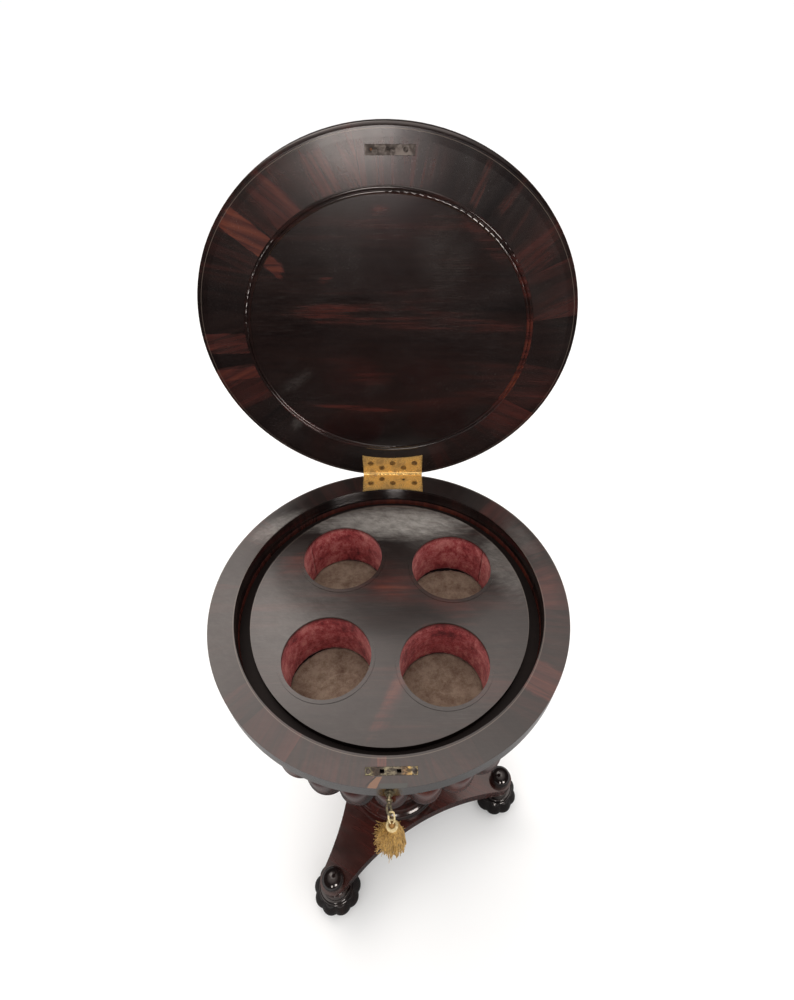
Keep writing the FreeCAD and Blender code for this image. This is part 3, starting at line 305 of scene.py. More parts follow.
def addFloor():
    mesh = bpy.data.meshes.new("floor")
    reach = studio["floorReach"]
    corners = [(-reach, -reach, 0), (reach, -reach, 0), (reach, reach, 0), (-reach, reach, 0)]
    mesh.from_pydata(corners, [], [(0, 1, 2, 3)])
    floor = bpy.data.objects.new("floor", mesh)
    scene.collection.objects.link(floor)
    material, tree, place = newMaterial("paleFloor")
    # the polish mirrors a dimmer floor than the one that is seen, as in a dark room
    away = lengthOf(tree, place)
    shade = studio["mirrorUnder"]
    for start, full, beyond in studio["mirrorRings"]:
        shade = blend(tree, spread(tree, away, start, full), shade, beyond)
    split = parts(tree, place)
    beside = spread(tree, sums(tree, "ABSOLUTE", split["X"]), *studio["stripSides"], 1.0, 0.0)
    strip = times(tree, beside, spread(tree, split["Y"], *studio["stripAhead"]))
    shade = blend(tree, strip, shade, studio["strip"])
    dim = put(tree, "ShaderNodeCombineColor", {0: shade, 1: shade, 2: shade}).outputs[0]
    red = spread(tree, away, studio["redFrom"], studio["redFull"])
    for share, tint in ((red, studio["mirrorRed"]), (strip, studio["stripTint"])):
        dim = blendColours(tree, share, dim, blendColours(tree, 1.0, dim, tint, "MULTIPLY"))
    mirrored = put(tree, "ShaderNodeLightPath").outputs["Is Glossy Ray"]
    colour = blendColours(tree, mirrored, studio["floor"], dim)
    finish(tree, {"Base Color": colour, "Roughness": 0.9, "Specular IOR Level": 0.0})
    mesh.materials.append(material)
    floor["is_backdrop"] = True


def addLight():
    world = bpy.data.worlds.new("studioAir")
    scene.world = world
    world.use_nodes = True
    tree = world.node_tree
    tree.nodes.clear()
    up = parts(tree, put(tree, "ShaderNodeTexCoord").outputs["Generated"])["Z"]
    overhead = spread(tree, up, *studio["ceilingUp"], studio["room"], studio["ceiling"])
    mirrored = put(tree, "ShaderNodeLightPath").outputs["Is Glossy Ray"]
    strength = blend(tree, mirrored, studio["sky"], overhead)
    tint = blendColours(tree, mirrored, studio["skyTint"], studio["ceilingTint"])
    glow = put(tree, "ShaderNodeBackground", {"Color": tint, "Strength": strength})
    put(tree, "ShaderNodeOutputWorld", {"Surface": glow.outputs[0]})
    for number, (place, target, width, height, power, wide) in enumerate(studio["lamps"]):
        data = bpy.data.lights.new(f"softBox{number}", "AREA")
        data.shape, data.size, data.size_y, data.energy = "RECTANGLE", width, height, power
        data.color = studio["lampTint"]
        lamp = bpy.data.objects.new(f"softBox{number}", data)
        lamp.location = place
        lamp.rotation_euler = (Vector(target) - Vector(place)).to_track_quat("-Z", "Y").to_euler()
        lamp.visible_diffuse = wide
        scene.collection.objects.link(lamp)
    scene.view_settings.view_transform = "Standard"


addCamera()
addFloor()
addLight()
print("camera, floor and light are set")


# ---- the silk cord, from the key's bow to the tassel ----

cord = {
    "hang": column + Vector((0.001972, -0.2352, rimTop - 0.015208)), "drop": 0.044,
    "diameter": 0.0018, "length": 0.0872, "lay": 0.0046, "step": 0.0005,  # lay: one turn of the twist
    "route": (  # across and up from the point it hangs from, in millimetres
        (-1.4, -39.5), (-2.604, -31.6), (-3.1, -18.96), (-2.635, -6.715), (-2.45, 2.45),
        (2.45, 2.45), (2.635, -6.715), (3.1, -18.96), (2.604, -31.6), (1.4, -39.5)),
}


def cordPoints():
    # the route's own smooth line, with its points a step apart
    curve = bpy.data.curves.new("cordLine", "CURVE")
    curve.dimensions = "3D"
    spline = curve.splines.new("NURBS")
    spline.points.add(len(cord["route"]) - 1)
    for point, (across, up) in zip(spline.points, cord["route"]):
        place = cord["hang"] + Vector((across, 0, up)) / 1000
        point.co = (*place, 1.0)
    spline.order_u = 3
    spline.use_endpoint_u = True
    spline.resolution_u = 24
    mesh = evaluated(bpy.data.objects.new("lineHolder", curve))
    points = [vertex.co.copy() for vertex in mesh.vertices]
    bpy.data.meshes.remove(mesh)
    reach = [0.0]
    for a, b in zip(points, points[1:]):
        reach.append(reach[-1] + (b - a).length)
    count = max(2, round(reach[-1] / cord["step"]))
    even, index = [], 0
    for number in range(count + 1):
        aim = reach[-1] * number / count
        while index < len(points) - 2 and reach[index + 1] < aim:
            index += 1
        share = (aim - reach[index]) / max(reach[index + 1] - reach[index], 1e-9)
        even.append(points[index].lerp(points[index + 1], min(1.0, share)))
    return even


def framesAlong(points, closed, side=None):
    # at each point which way the line runs, and a side that is carried along without twist
    count = len(points)
    for index, point in enumerate(points):
        before = points[index - 1] if index or closed else point
        after = points[(index + 1) % count] if index < count - 1 or closed else point
        way = (after - before).normalized()
        if side is None:
            side = way.orthogonal().normalized()
        side = (side - way * side.dot(way)).normalized()
        yield point, way, side


def beside(point, way, side, turn, radius):
    return point + (side * math.cos(turn) + way.cross(side) * math.sin(turn)) * radius


def tube(bm, points, radius, sides, closed=False):
    turns = [2 * math.pi * number / sides for number in range(sides)]
    rings = []
    for place in framesAlong(points, closed):
        rings.append([bm.verts.new(beside(*place, turn, radius)) for turn in turns])
    for low, high in zip(rings, rings[1:] + (rings[:1] if closed else [])):
        joinRings(bm, low, high)
    if not closed:
        bm.faces.new(list(reversed(rings[0])))
        bm.faces.new(rings[-1])


def twisted(bm, points, radius, lay, closed=False):
    # two plies that wind about the line, each as thick as lets the whole rope have the radius
    ply = radius * 0.54
    length = sum((b - a).length for a, b in zip(points, points[1:]))
    turns = max(1, round(length / lay)) if closed else length / lay
    for start in (0.0, 0.5):
        reach, last, path = 0.0, points[0], []
        for point, way, side in framesAlong(points, closed, Vector((0, 0, 1)) if closed else None):
            reach += (point - last).length
            last = point
            turn = 2 * math.pi * (turns * reach / length + start)
            path.append(beside(point, way, side, turn, radius - ply))
        tube(bm, path, ply, 8, closed)


cordLine = cordPoints()


# ---- the tassel, about the point it swings from ----

tassel = {
    "knot": cord["hang"] - Vector((0, 0, cord["drop"])),
    "ringRadius": 0.0045, "ringWire": 0.0013, "ringDrop": 0.0024, "ringLay": 0.0034,
    "bandRadius": 0.0054, "bandWire": 0.0011, "bandDrop": 0.0047, "bandLay": 0.0030,
    "core": (  # height and radius of the bound head
        (0.0042, 0.0), (0.0041, 0.0010), (0.0032, 0.0016), (0.0008, 0.0019), (-0.0014, 0.0026),
        (-0.0026, 0.0034), (-0.0046, 0.0040), (-0.0062, 0.0038), (-0.0070, 0.0)),
    "coreSides": 40, "coreRibs": 10, "ribDepth": 0.04,
    "sunflower": 2.399963,  # radians from one thread to the next
    "strays": 210, "strayThread": 0.0003, "strayReach": 0.0120, "strayCurl": 0.0006,
    "straysLeft": 0.68, "leftward": math.pi + 0.45, "strayTop": 0.006, "strayDrop": 0.060,
}
skirt = {
    "Count": 620, "Head Radius": 0.0054, "Hem Radius": 0.0146, "Length": 0.0815, "Thread": 0.00048,
    "Ragged": 0.10, "Wave": 0.0034, "Seed": 7, "Place": tassel["knot"] - Vector((0, 0, 0.0050)),
}


def ringMesh(name, kind, count=96):
    centre = tassel["knot"] - Vector((0, 0, tassel[kind + "Drop"]))
    radius = tassel[kind + "Radius"]
    line = [around(centre, 2 * math.pi * number / count, radius, 0) for number in range(count)]
    return meshFrom(name, twisted, line, tassel[kind + "Wire"], tassel[kind + "Lay"], True)


def headCore(bm):
    # the silk bound at the head: a stem inside the ring, ribbed by the turns of its thread
    sides = tassel["coreSides"]
    grid = []
    for number, (height, radius) in enumerate(tassel["core"]):
        ring = []
        for side in range(sides):
            turn = 2 * math.pi * side / sides
            size = radius * (1 + tassel["ribDepth"] * math.sin(turn * tassel["coreRibs"] + number * 1.3))
            ring.append(bm.verts.new(around(tassel["knot"], turn, size, height)))
        grid.append(ring)
    for low, high in zip(grid, grid[1:]):
        joinRings(bm, low, high)
    bmesh.ops.remove_doubles(bm, verts=bm.verts, dist=1e-6)


def strayThreads(bm):
    # threads that have worked loose and stand off, most of them on the left
    pick = random.Random(skirt["Seed"])
    for number in range(tassel["strays"]):
        low = pick.random() ** 1.3
        left = pick.random() < tassel["straysLeft"]
        turn = pick.gauss(tassel["leftward"], 0.55) if left else pick.uniform(0, 2 * math.pi)
        ahead = Vector((math.cos(turn), math.sin(turn), 0))
        aside = Vector((-ahead.y, ahead.x, 0))
        down = tassel["strayTop"] + tassel["strayDrop"] * low
        # it starts just inside the skirt's own outline
        flare = math.sin(min(1.45, down / skirt["Length"] * 1.45 + 0.15)) ** 0.62
        start = tassel["knot"] + ahead * (0.0044 + 0.0072 * flare) - Vector((0, 0, down))
        reach = tassel["strayReach"] * pick.uniform(0.25, 1.0) * (1.0 if left else 0.45)
        fall = pick.uniform(-0.2, 0.9) * reach
        sway = pick.uniform(-0.5, 0.5) * reach
        path = []
        for step in range(7):
            share = step / 6
            curl = math.sin(share * 5.0 + number) * tassel["strayCurl"]
            drop = Vector((0, 0, fall * share ** 1.6 + 0.002 * share))
            outward, sideways = reach * share + curl * 0.5, sway * share ** 2 + curl
            path.append(start + ahead * outward + aside * sideways - drop)
        tube(bm, path, tassel["strayThread"], 3)


def scatter(tree, low, high, index, seed):
    inputs = {2: low, 3: high, "ID": index, "Seed": seed}
    return put(tree, "FunctionNodeRandomValue", inputs, data_type="FLOAT").outputs[1]


def strandTree(material):
    # threads that hang from a small round head and spread towards the hem
    tree = bpy.data.node_groups.new("silkStrands", "GeometryNodeTree")
    tree.interface.new_socket("Geometry", in_out="INPUT", socket_type="NodeSocketGeometry")
    addInputs(tree, skirt)
    tree.interface.new_socket("Geometry", in_out="OUTPUT", socket_type="NodeSocketGeometry")
    given = put(tree, "NodeGroupInput").outputs
    line = put(tree, "GeometryNodeCurvePrimitiveLine", {"Start": (0, 0, 0), "End": (0, 0, -1)})
    line = put(tree, "GeometryNodeResampleCurve", {"Curve": line.outputs[0], "Count": 11})
    many = put(tree, "GeometryNodeDuplicateElements", {
        "Geometry": line.outputs[0], "Amount": given["Count"]}, domain="SPLINE")
    index = many.outputs["Duplicate Index"]
    along = put(tree, "GeometryNodeSplineParameter").outputs["Factor"]
    # sunflower order fills the round evenly
    share = sums(tree, "SQRT", sums(tree, "DIVIDE", plus(tree, index, 0.5), given["Count"]))
    angle = times(tree, index, tassel["sunflower"])
    angle = plus(tree, angle, times(tree, along, scatter(tree, -0.22, 0.22, index, given["Seed"])))
    # the threads gather in locks
    wave = sums(tree, "SINE", plus(tree, times(tree, angle, 11.0), times(tree, share, 4.0)))
    angle = plus(tree, angle, times(tree, times(tree, wave, along), 0.095))
    flare = sums(tree, "POWER", sums(tree, "SINE", times(tree, along, 1.45)), 0.72)
    wider = minus(tree, given["Hem Radius"], given["Head Radius"])
    radius = times(tree, sums(tree, "MULTIPLY_ADD", wider, flare, given["Head Radius"]), share)
    # some are shorter than the rest
    short = sums(tree, "POWER", scatter(tree, 0.0, 1.0, index, plus(tree, given["Seed"], 1)), 2.2)
    uneven = minus(tree, 1.0, times(tree, given["Ragged"], short))
    fall = times(tree, times(tree, along, given["Length"]), uneven)
    place = joined(tree, X=times(tree, radius, sums(tree, "COSINE", angle)),
                   Y=times(tree, radius, sums(tree, "SINE", angle)), Z=times(tree, fall, -1.0))
    where = joined(tree, X=times(tree, index, 3.7), Y=times(tree, along, 2.6))
    wander = put(tree, "ShaderNodeTexNoise", {"Vector": where, "Scale": 1.0, "Detail": 2.0})
    drift = vectors(tree, "SUBTRACT", wander.outputs["Color"], (0.5, 0.5, 0.5))
    sway = put(tree, "ShaderNodeVectorMath", {0: drift, "Scale": times(tree, given["Wave"], along)},
               operation="SCALE").outputs[0]
    place = vectors(tree, "ADD", vectors(tree, "ADD", place, sway), given["Place"])
    moved = put(tree, "GeometryNodeSetPosition", {"Geometry": many.outputs[0], "Position": place})
    outline = put(tree, "GeometryNodeCurvePrimitiveCircle", {"Resolution": 4, "Radius": given["Thread"]})
    solid = put(tree, "GeometryNodeCurveToMesh", {
        "Curve": moved.outputs[0], "Profile Curve": outline.outputs[0], "Fill Caps": True})
    real = put(tree, "GeometryNodeRealizeInstances", {"Geometry": solid.outputs[0]})
    done = put(tree, "GeometryNodeSetMaterial", {"Geometry": real.outputs[0], "Material": material})
    put(tree, "NodeGroupOutput", {0: done.outputs[0]})
    return tree


def strandMesh(name, material):
    # runs the tree on an empty mesh and keeps the result as a plain mesh
    holder = bpy.data.objects.new(name + "Holder", bpy.data.meshes.new(name + "Holder"))
    modifier = holder.modifiers.new("shape", "NODES")
    modifier.node_group = strandTree(material)
    for item in modifier.node_group.interface.items_tree:
        if item.name in skirt:
            modifier[item.identifier] = skirt[item.name]
    mesh = evaluated(holder)
    mesh.name = name
    return mesh


# ---- what several finishes share ----

def grainGroup():
    # wood figure along the coordinates' X: broad bands, fine fibres and short dark pores
    tree, given = openGroup("woodFigure", {"Vector": None, "Bands": 9.0})

    def drawnOut(share, *settings):
        return noise(tree, vectors(tree, "MULTIPLY", given["Vector"], (share, 1.0, 1.0)), *settings)

    wide = drawnOut(0.16, given["Bands"], 5.0, 0.6, 0.8)
    narrow = drawnOut(0.06, 150.0, 3.0, 0.6, 0.2)
    dashes = drawnOut(0.035, 1500.0, 2.0, 0.5)
    figure = plus(tree, times(tree, wide, 0.72), times(tree, narrow, 0.28))
    pores = spread(tree, dashes, 0.58, 0.74)
    return closeGroup(tree, {"Figure": figure, "Fibre": narrow, "Pores": pores})


def leavesGroup():
    # crossbanding: leaves of veneer round a circle in the coordinates' XY plane, grain outward
    tree, given = openGroup("veneerLeaves", {"Vector": None, "Leaves": 22.0, "Seed": 0.0})
    split = parts(tree, given["Vector"])
    angle = sums(tree, "ARCTAN2", split["Y"], split["X"])
    share = times(tree, plus(tree, sums(tree, "DIVIDE", angle, 2 * math.pi), 0.5), given["Leaves"])
    # the joints stand unevenly
    uneven = noise(tree, joined(tree, X=times(tree, share, 0.45), Y=given["Seed"]), 1.0, 1.0)
    share = plus(tree, share, times(tree, uneven, 1.1))
    leaf = sums(tree, "FLOOR", share)
    edge = sums(tree, "ABSOLUTE", minus(tree, sums(tree, "FRACT", share), 0.5))
    white = put(tree, "ShaderNodeTexWhiteNoise", {"Vector": joined(tree, X=leaf, Y=given["Seed"])},
                noise_dimensions="3D")
    tone = put(tree, "ShaderNodeSeparateColor", {0: white.outputs["Color"]}).outputs
    middle = sums(tree, "DIVIDE", plus(tree, leaf, 0.5), given["Leaves"])
    middle = minus(tree, times(tree, middle, 2 * math.pi), math.pi)
    # each leaf leans a little its own way
    turn = plus(tree, middle, times(tree, minus(tree, tone["Red"], 0.5), 0.35))
    turned = turnedBack(tree, given["Vector"], turn)
    apart = vectors(tree, "ADD", turned, joined(tree, Z=times(tree, leaf, 0.37)))
    joint = spread(tree, edge, 0.485, 0.5)
    return closeGroup(tree, {"Vector": apart, "Tone": tone["Green"], "Joint": joint})


def hazeGroup():
    # the bloom of an old polish: cloudy patches and fine dust
    tree, given = openGroup("polishBloom", {"Vector": None})
    patches = noise(tree, given["Vector"], 9.0, 6.0, 0.62, 0.5)
    grit = noise(tree, given["Vector"], 700.0, 2.0, 0.6)
    haze, dust = spread(tree, patches, 0.38, 0.68), spread(tree, grit, 0.62, 0.74)
    return closeGroup(tree, {"Haze": haze, "Dust": dust})


def markGroup():
    # one laid patch in the coordinates' XY plane: square or round, hard or soft, with a ragged edge
    tree, given = openGroup("laidMark", {
        "Vector": None, "Place": (0, 0, 0), "Turn": 0.0, "Reach X": 0.01, "Reach Y": 0.01, "Skew": 0.0,
        "Round": 0.0, "Soft": 0.1, "Ragged": 0.2})
    turned = turnedBack(tree, vectors(tree, "SUBTRACT", given["Vector"], given["Place"]), given["Turn"])
    split = parts(tree, turned)
    across = plus(tree, split["X"], times(tree, given["Skew"], split["Y"]))
    across = sums(tree, "ABSOLUTE", sums(tree, "DIVIDE", across, given["Reach X"]))
    along = sums(tree, "ABSOLUTE", sums(tree, "DIVIDE", split["Y"], given["Reach Y"]))
    square = sums(tree, "MAXIMUM", across, along)
    bow = sums(tree, "SQRT", plus(tree, times(tree, across, across), times(tree, along, along)))
    away = blend(tree, given["Round"], square, bow)
    rough = noise(tree, vectors(tree, "MULTIPLY", turned, (0.22, 1.0, 1.0)), 210.0, 5.0, 0.68)
    away = plus(tree, away, times(tree, minus(tree, rough, 0.5), given["Ragged"]))
    low, high = minus(tree, 1.0, given["Soft"]), plus(tree, 1.0, given["Soft"])
    return closeGroup(tree, {"Mask": spread(tree, away, low, high, 1.0, 0.0, "SMOOTHSTEP")})


def circleGroup():
    # a line round a circle in the coordinates' XY plane
    tree, given = openGroup("circleLine", {
        "Vector": None, "Place": (0, 0, 0), "Radius": 0.1, "Width": 0.001})
    moved = vectors(tree, "MULTIPLY", vectors(tree, "SUBTRACT", given["Vector"], given["Place"]), (1, 1, 0))
    off = sums(tree, "ABSOLUTE", minus(tree, lengthOf(tree, moved), given["Radius"]))
    return closeGroup(tree, {"Mask": spread(tree, off, 0.0, given["Width"], 1.0, 0.0, "SMOOTHSTEP")})


woodFigure, veneerLeaves, polishBloom = grainGroup(), leavesGroup(), hazeGroup()
laidMark, circleLine = markGroup(), circleGroup()


def mark(tree, vector, place, reach, turn, bow, soft, ragged, skew=0.0):
    # sizes in millimetres and the turn in degrees
    return useGroup(tree, laidMark, {
        "Vector": vector, "Place": (place[0] / 1000, place[1] / 1000, 0), "Turn": math.radians(turn),
        "Reach X": reach[0] / 1000, "Reach Y": reach[1] / 1000, "Skew": skew, "Round": bow, "Soft": soft,
        "Ragged": ragged})["Mask"]


def circle(tree, vector, radius, width, place=(0, 0)):
    return useGroup(tree, circleLine, {
        "Vector": vector, "Place": (place[0] / 1000, place[1] / 1000, 0), "Radius": radius / 1000,
        "Width": width / 1000})["Mask"]


# ---- rosewood ----

rosewoodColours = {
    "black": (0.0042, 0.0022, 0.0022), "brown": (0.0135, 0.0066, 0.0055), "red": (0.054, 0.0128, 0.0098),
    "orange": (0.120, 0.0280, 0.0145), "bloomAndSheen": (0.34, 0.315, 0.29),
}


def rosewood(name, turn=(0, 0, 0), centre=(0, 0, 0), leaves=None, bands=9.0, lift=0.0, haze=0.0, rough=0.22,
             coat=0.5, coatRough=0.06, seed=0.0, contrast=0.13, grain=1.0, marks=(), sheenSmears=(), edgeHighlights=(),
             bare=(), swell=None, relief=0.10, scratches=0.0):
    # lift moves the figure towards red and marks lift it in places; haze and scratches lay grey bloom on
    # it, and the sheen smears lay the same grey as painted sheen
    wood = rosewoodColours
    material, tree, place = newMaterial(name)
    flat = stretch(tree, place, place=centre, turn=turn)
    local = flat
    if leaves:
        cut = useGroup(tree, veneerLeaves, {"Vector": flat, "Leaves": leaves, "Seed": seed})
        local = cut["Vector"]
    figure = useGroup(tree, woodFigure, {"Vector": local, "Bands": bands})
    value = plus(tree, times(tree, minus(tree, figure["Figure"], 0.5), grain), 0.5 + lift)
    if leaves:
        value = plus(tree, value, times(tree, minus(tree, cut["Tone"], 0.5), contrast))
    streak = spread(tree, figure["Fibre"], 0.30, 0.62, 0.45, 1.0)
    for amount, *shape in marks:
        redder = times(tree, mark(tree, flat, *shape), streak)
        value = plus(tree, value, times(tree, redder, amount))
    colour = ramp(tree, value, (
        (0.36, wood["black"]), (0.50, wood["brown"]), (0.66, wood["red"]), (0.84, wood["orange"])))
    colour = blendColours(tree, times(tree, figure["Pores"], 0.5), colour, wood["black"])
    if leaves:
        colour = blendColours(tree, times(tree, cut["Joint"], 0.55), colour, wood["black"])
    bloomAndSheen = useGroup(tree, polishBloom, {"Vector": place})
    bloomAndSheenAmount = times(tree, bloomAndSheen["Haze"], haze)
    # painted sheen: light grey smears, streaked by a noise, where the polish shows reflections
    if sheenSmears:
        sheenStreaks = noise(tree, stretch(tree, flat, (0.5, 1.0, 1.0), turn=(0, 0, 0.35)), 110.0, 8.0, 0.82, 0.3)
        sheenStreaks = spread(tree, sheenStreaks, 0.34, 0.64, 0.30, 1.0)
        for amount, *shape in sheenSmears:
            sheenSmear = times(tree, mark(tree, flat, *shape), sheenStreaks)
            bloomAndSheenAmount = plus(tree, bloomAndSheenAmount, times(tree, sheenSmear, amount))
    if scratches:
        fine = noise(tree, stretch(tree, flat, (0.07, 1.0, 1.0)), 620.0, 4.0, 0.7)
        patch = noise(tree, stretch(tree, flat, (0.5, 1.0, 1.0), (0.4, 0.2, 0)), 16.0, 3.0)
        fine = times(tree, spread(tree, fine, 0.50, 0.74), spread(tree, patch, 0.40, 0.62, 0.25, 1.0))
        bloomAndSheenAmount = plus(tree, bloomAndSheenAmount, times(tree, fine, scratches))
    # the grey is real bloom where the haze and scratches lay it, and painted sheen where the sheen smears
    # lay it
    colour = blendColours(tree, bloomAndSheenAmount, colour, wood["bloomAndSheen"])
    # painted highlight: thin pale lines round the edges, where a rounded edge would catch the light
    for radius, width, amount, shade in edgeHighlights:
        colour = blendColours(tree, times(tree, circle(tree, flat, radius, width), amount), colour, shade)
    for shade, *shape in bare:
        colour = blendColours(tree, mark(tree, flat, *shape), colour, shade)
    roughness = plus(tree, rough, times(tree, bloomAndSheen["Haze"], 0.10))
    roughness = plus(tree, roughness, times(tree, bloomAndSheen["Dust"], 0.06))
    height = plus(tree, times(tree, figure["Pores"], -1.0), times(tree, figure["Fibre"], 0.5))
    form = None
    if swell:
        # the bump leans the surface: evenly for a slope, and more with its height for a belly
        kind, foot, amount = swell
        up = minus(tree, parts(tree, place)["Z"], foot)
        if kind == "belly":
            up = sums(tree, "MAXIMUM", up, 0.0)
            up = times(tree, up, up)
        form = times(tree, up, -amount)
    finish(tree, {"Base Color": colour, "Roughness": roughness, "Coat Weight": coat,
                  "Coat Roughness": coatRough, "Specular IOR Level": 0.5}, height, relief, 0.0001, form)
    return material


axis = tuple(column)
lidCentre = (column.x + 0.0031, 0.2208, rimTop + 0.2210)
facing = (-math.pi / 2, 0, 0)  # the open lid's plane, turned flat
upright = (0, math.pi / 2, 0)  # grain up the column
# painted highlight: the pale colour of the thin lines drawn along the edges of the tray, the rim and the
# lid
edgeHighlight = (0.30, 0.24, 0.19)

# a mark or a sheen smear: its amount, its middle and half size in millimetres, its turn in degrees,
# its roundness, softness and raggedness, and its skew if it has one; a repair starts with a colour
lidBandMarks = (
    (0.3, (-148, 127), (27, 12.5), -42, 0, 0.06, 0.5),
    (0.2, (-195, -1), (28, 13.5), 0, 0, 0.05, 0.4),
    (0.13, (-195, -44), (28, 8), 8, 0, 0.1, 0.5),
    (0.2, (95, 175), (23, 4.5), 70, 0, 0.25, 0.9),
    (0.15, (127, 163), (20, 5), 50, 0, 0.3, 0.9),
    (0.18, (-66, 183), (22, 12), 112, 0, 0.3, 0.9),
    (0.12, (-112, 156), (25, 15), 126, 0, 0.3, 0.9),
    (-0.07, (70, 190), (24, 5), 68, 0, 0.2, 0.6),
    (0.1, (0, 190), (60, 26), 0, 1, 0.4, 0.6),
    (-0.08, (0, -190), (210, 70), 0, 1, 0.4, 0.2),
    (0.07, (150, 120), (26, 40), 30, 1, 0.4, 0.9))
lidPanelMarks = (
    (0.28, (-128, 96), (15, 8), -42, 0.4, 0.25, 1.2, 0.4),
    (0.15, (-72, 37), (42, 13), -6, 1, 0.6, 1.6),
    (0.12, (40, 28), (110, 15), -4, 1, 0.6, 1.4),
    (0.18, (-58, -97), (52, 4), -6, 1, 0.6, 1.6),
    (0.2, (-71, 78), (7, 3.0), 10, 0.8, 0.9, 2.6),
    (0.16, (-8, 152), (8, 4), 0, 1, 0.9, 2.4),
    (0.1, (-20, -52), (26, 9), 0, 1, 0.6, 1.6),
    (-0.05, (0, -120), (150, 60), 0, 1, 0.5, 0.3),
    (0.1, (110, 118), (34, 9), -40, 1, 0.6, 1.6))
# painted sheen on the lid: light smudges where its polish shows reflections
lidSheenSmears = (
    (0.08, (-122, -56), (19, 6), 35, 1, 1.0, 2.2),
    (0.04, (62, 105), (22, 42), 10, 1, 0.8, 1.4),
    (0.025, (-20, -66), (14, 9), 10, 1, 1.0, 2.2))
trayMarks = (
    (0.24, (-128, 70), (22, 16), 20, 1, 0.7, 1.4),
    (0.18, (3, 31), (24, 15), 0, 1, 0.7, 1.6),
    (0.17, (83, -9), (30, 14), -20, 1, 0.7, 1.4),
    (0.16, (15, -88), (66, 6), 64, 1, 0.7, 1.6),
    (0.15, (1, -125), (36, 9), 60, 1, 0.7, 1.6),
    (0.08, (120, -90), (40, 26), 40, 1, 0.7, 1.2))
# painted sheen on the tray: light grey patches, strongest at its back, where it shows reflections
traySheenSmears = (
    (0.95, (6, 142), (96, 24), 0, 1, 0.6, 1.2),
    (0.4, (150, 66), (20, 44), 18, 1, 0.7, 1.5),
    (0.24, (66, 112), (60, 26), -30, 1, 0.8, 1.5),
    (0.15, (-120, 0), (60, 70), 0, 1, 0.8, 0.8),
    (0.05, (-20, -120), (120, 50), 0, 1, 0.8, 0.8),
    (0.05, (110, -60), (60, 80), 0, 1, 0.8, 0.8))
rimMarks = (
    (0.22, (172, -112), (24, 20), -35, 0, 0.15, 0.9),
    (0.16, (-158, -129), (24, 16), 40, 0, 0.2, 0.9),
    (0.1, (0, -205), (90, 18), 0, 1, 0.5, 0.9),
    (0.1, (196, 20), (16, 40), 0, 1, 0.5, 0.9),
    (0.26, (-7, -196), (4.6, 7.5), 3, 0, 0.1, 0.4))
# painted sheen on the rim: light grey patches, strongest at its back left, where it shows reflections
rimSheenSmears = (
    (0.62, (-152, 118), (32, 15), 38, 1, 0.7, 1.2),
    (0.16, (178, 92), (12, 30), 25, 1, 0.7, 1.4),
    (0.1, (-200, -30), (30, 110), 0, 1, 0.8, 0.6),
    (0.05, (0, -206), (130, 40), 0, 1, 0.8, 0.6),
    (0.03, (200, -30), (30, 90), 0, 1, 0.8, 0.6))
rimRepairs = (  # the piece let in by the lock: the grey fill, an orange wedge beside it and a dark split
    ((0.03, 0.034, 0.03), (4.4, -217.6), (13.6, 4.2), 0, 0, 0.06, 0.05),
    ((0.17, 0.078, 0.038), (-14.6, -213.6), (4.4, 6.4), 0, 0, 0.06, 0.35, -0.55),
    ((0.01, 0.005, 0.004), (-16.0, -209.6), (9.0, 0.8), 41, 0, 0.3, 0.8))

turnedWood = rosewood("turnedRosewood", upright, bands=14.0, rough=0.12, coat=0.35)
lobeWood = rosewood("bowlRosewood", upright, lift=0.14, bands=14.0, rough=0.09, coat=0.0, relief=0.0,
                    swell=("belly", rimTop - 0.0905, 6.0))
liningWood = rosewood("liningRosewood", upright, lift=-0.06, bands=10.0, rough=0.08, coat=0.6,
                      swell=("slope", rimTop, 0.42))
blackWood = rosewood("footRosewood", upright, lift=-0.14, bands=14.0, rough=0.10, coat=0.6)
trayWood = rosewood("trayRosewood", centre=axis, lift=-0.01, haze=0.03, rough=0.29, coatRough=0.15,
                    marks=trayMarks, sheenSmears=traySheenSmears, edgeHighlights=((173.9, 0.7, 0.22, edgeHighlight),), relief=0.05,
                    scratches=0.06)
platformWood = rosewood("platformRosewood", (0, 0, 0.5), lift=0.10, rough=0.12, coat=0.4, grain=0.8)
lidPanelWood = rosewood("lidPanelRosewood", facing, lidCentre, lift=-0.03, rough=0.17, coat=0.2,
                        coatRough=0.08, marks=lidPanelMarks, sheenSmears=lidSheenSmears, grain=0.8, relief=0.03,
                        scratches=0.045)
lidTopWood = rosewood("lidTopRosewood", facing, lidCentre, lift=0.03, rough=0.16, coat=0.6)
lidBandWood = rosewood("lidBandRosewood", facing, lidCentre, leaves=20.0, rough=0.19, coat=0.2,
                       coatRough=0.10, grain=0.9, marks=lidBandMarks, relief=0.03, scratches=0.03,
                       sheenSmears=((0.14, (-128, -119), (14, 6), 60, 1, 0.8, 1.4),))
lidEdgeWood = rosewood("lidEdgeRosewood", facing, lidCentre, leaves=20.0, lift=-0.01, rough=0.16, coat=0.2,
                       coatRough=0.08, grain=0.9, marks=lidBandMarks, relief=0.03,
                       edgeHighlights=((221.6, 0.5, 0.30, edgeHighlight),))
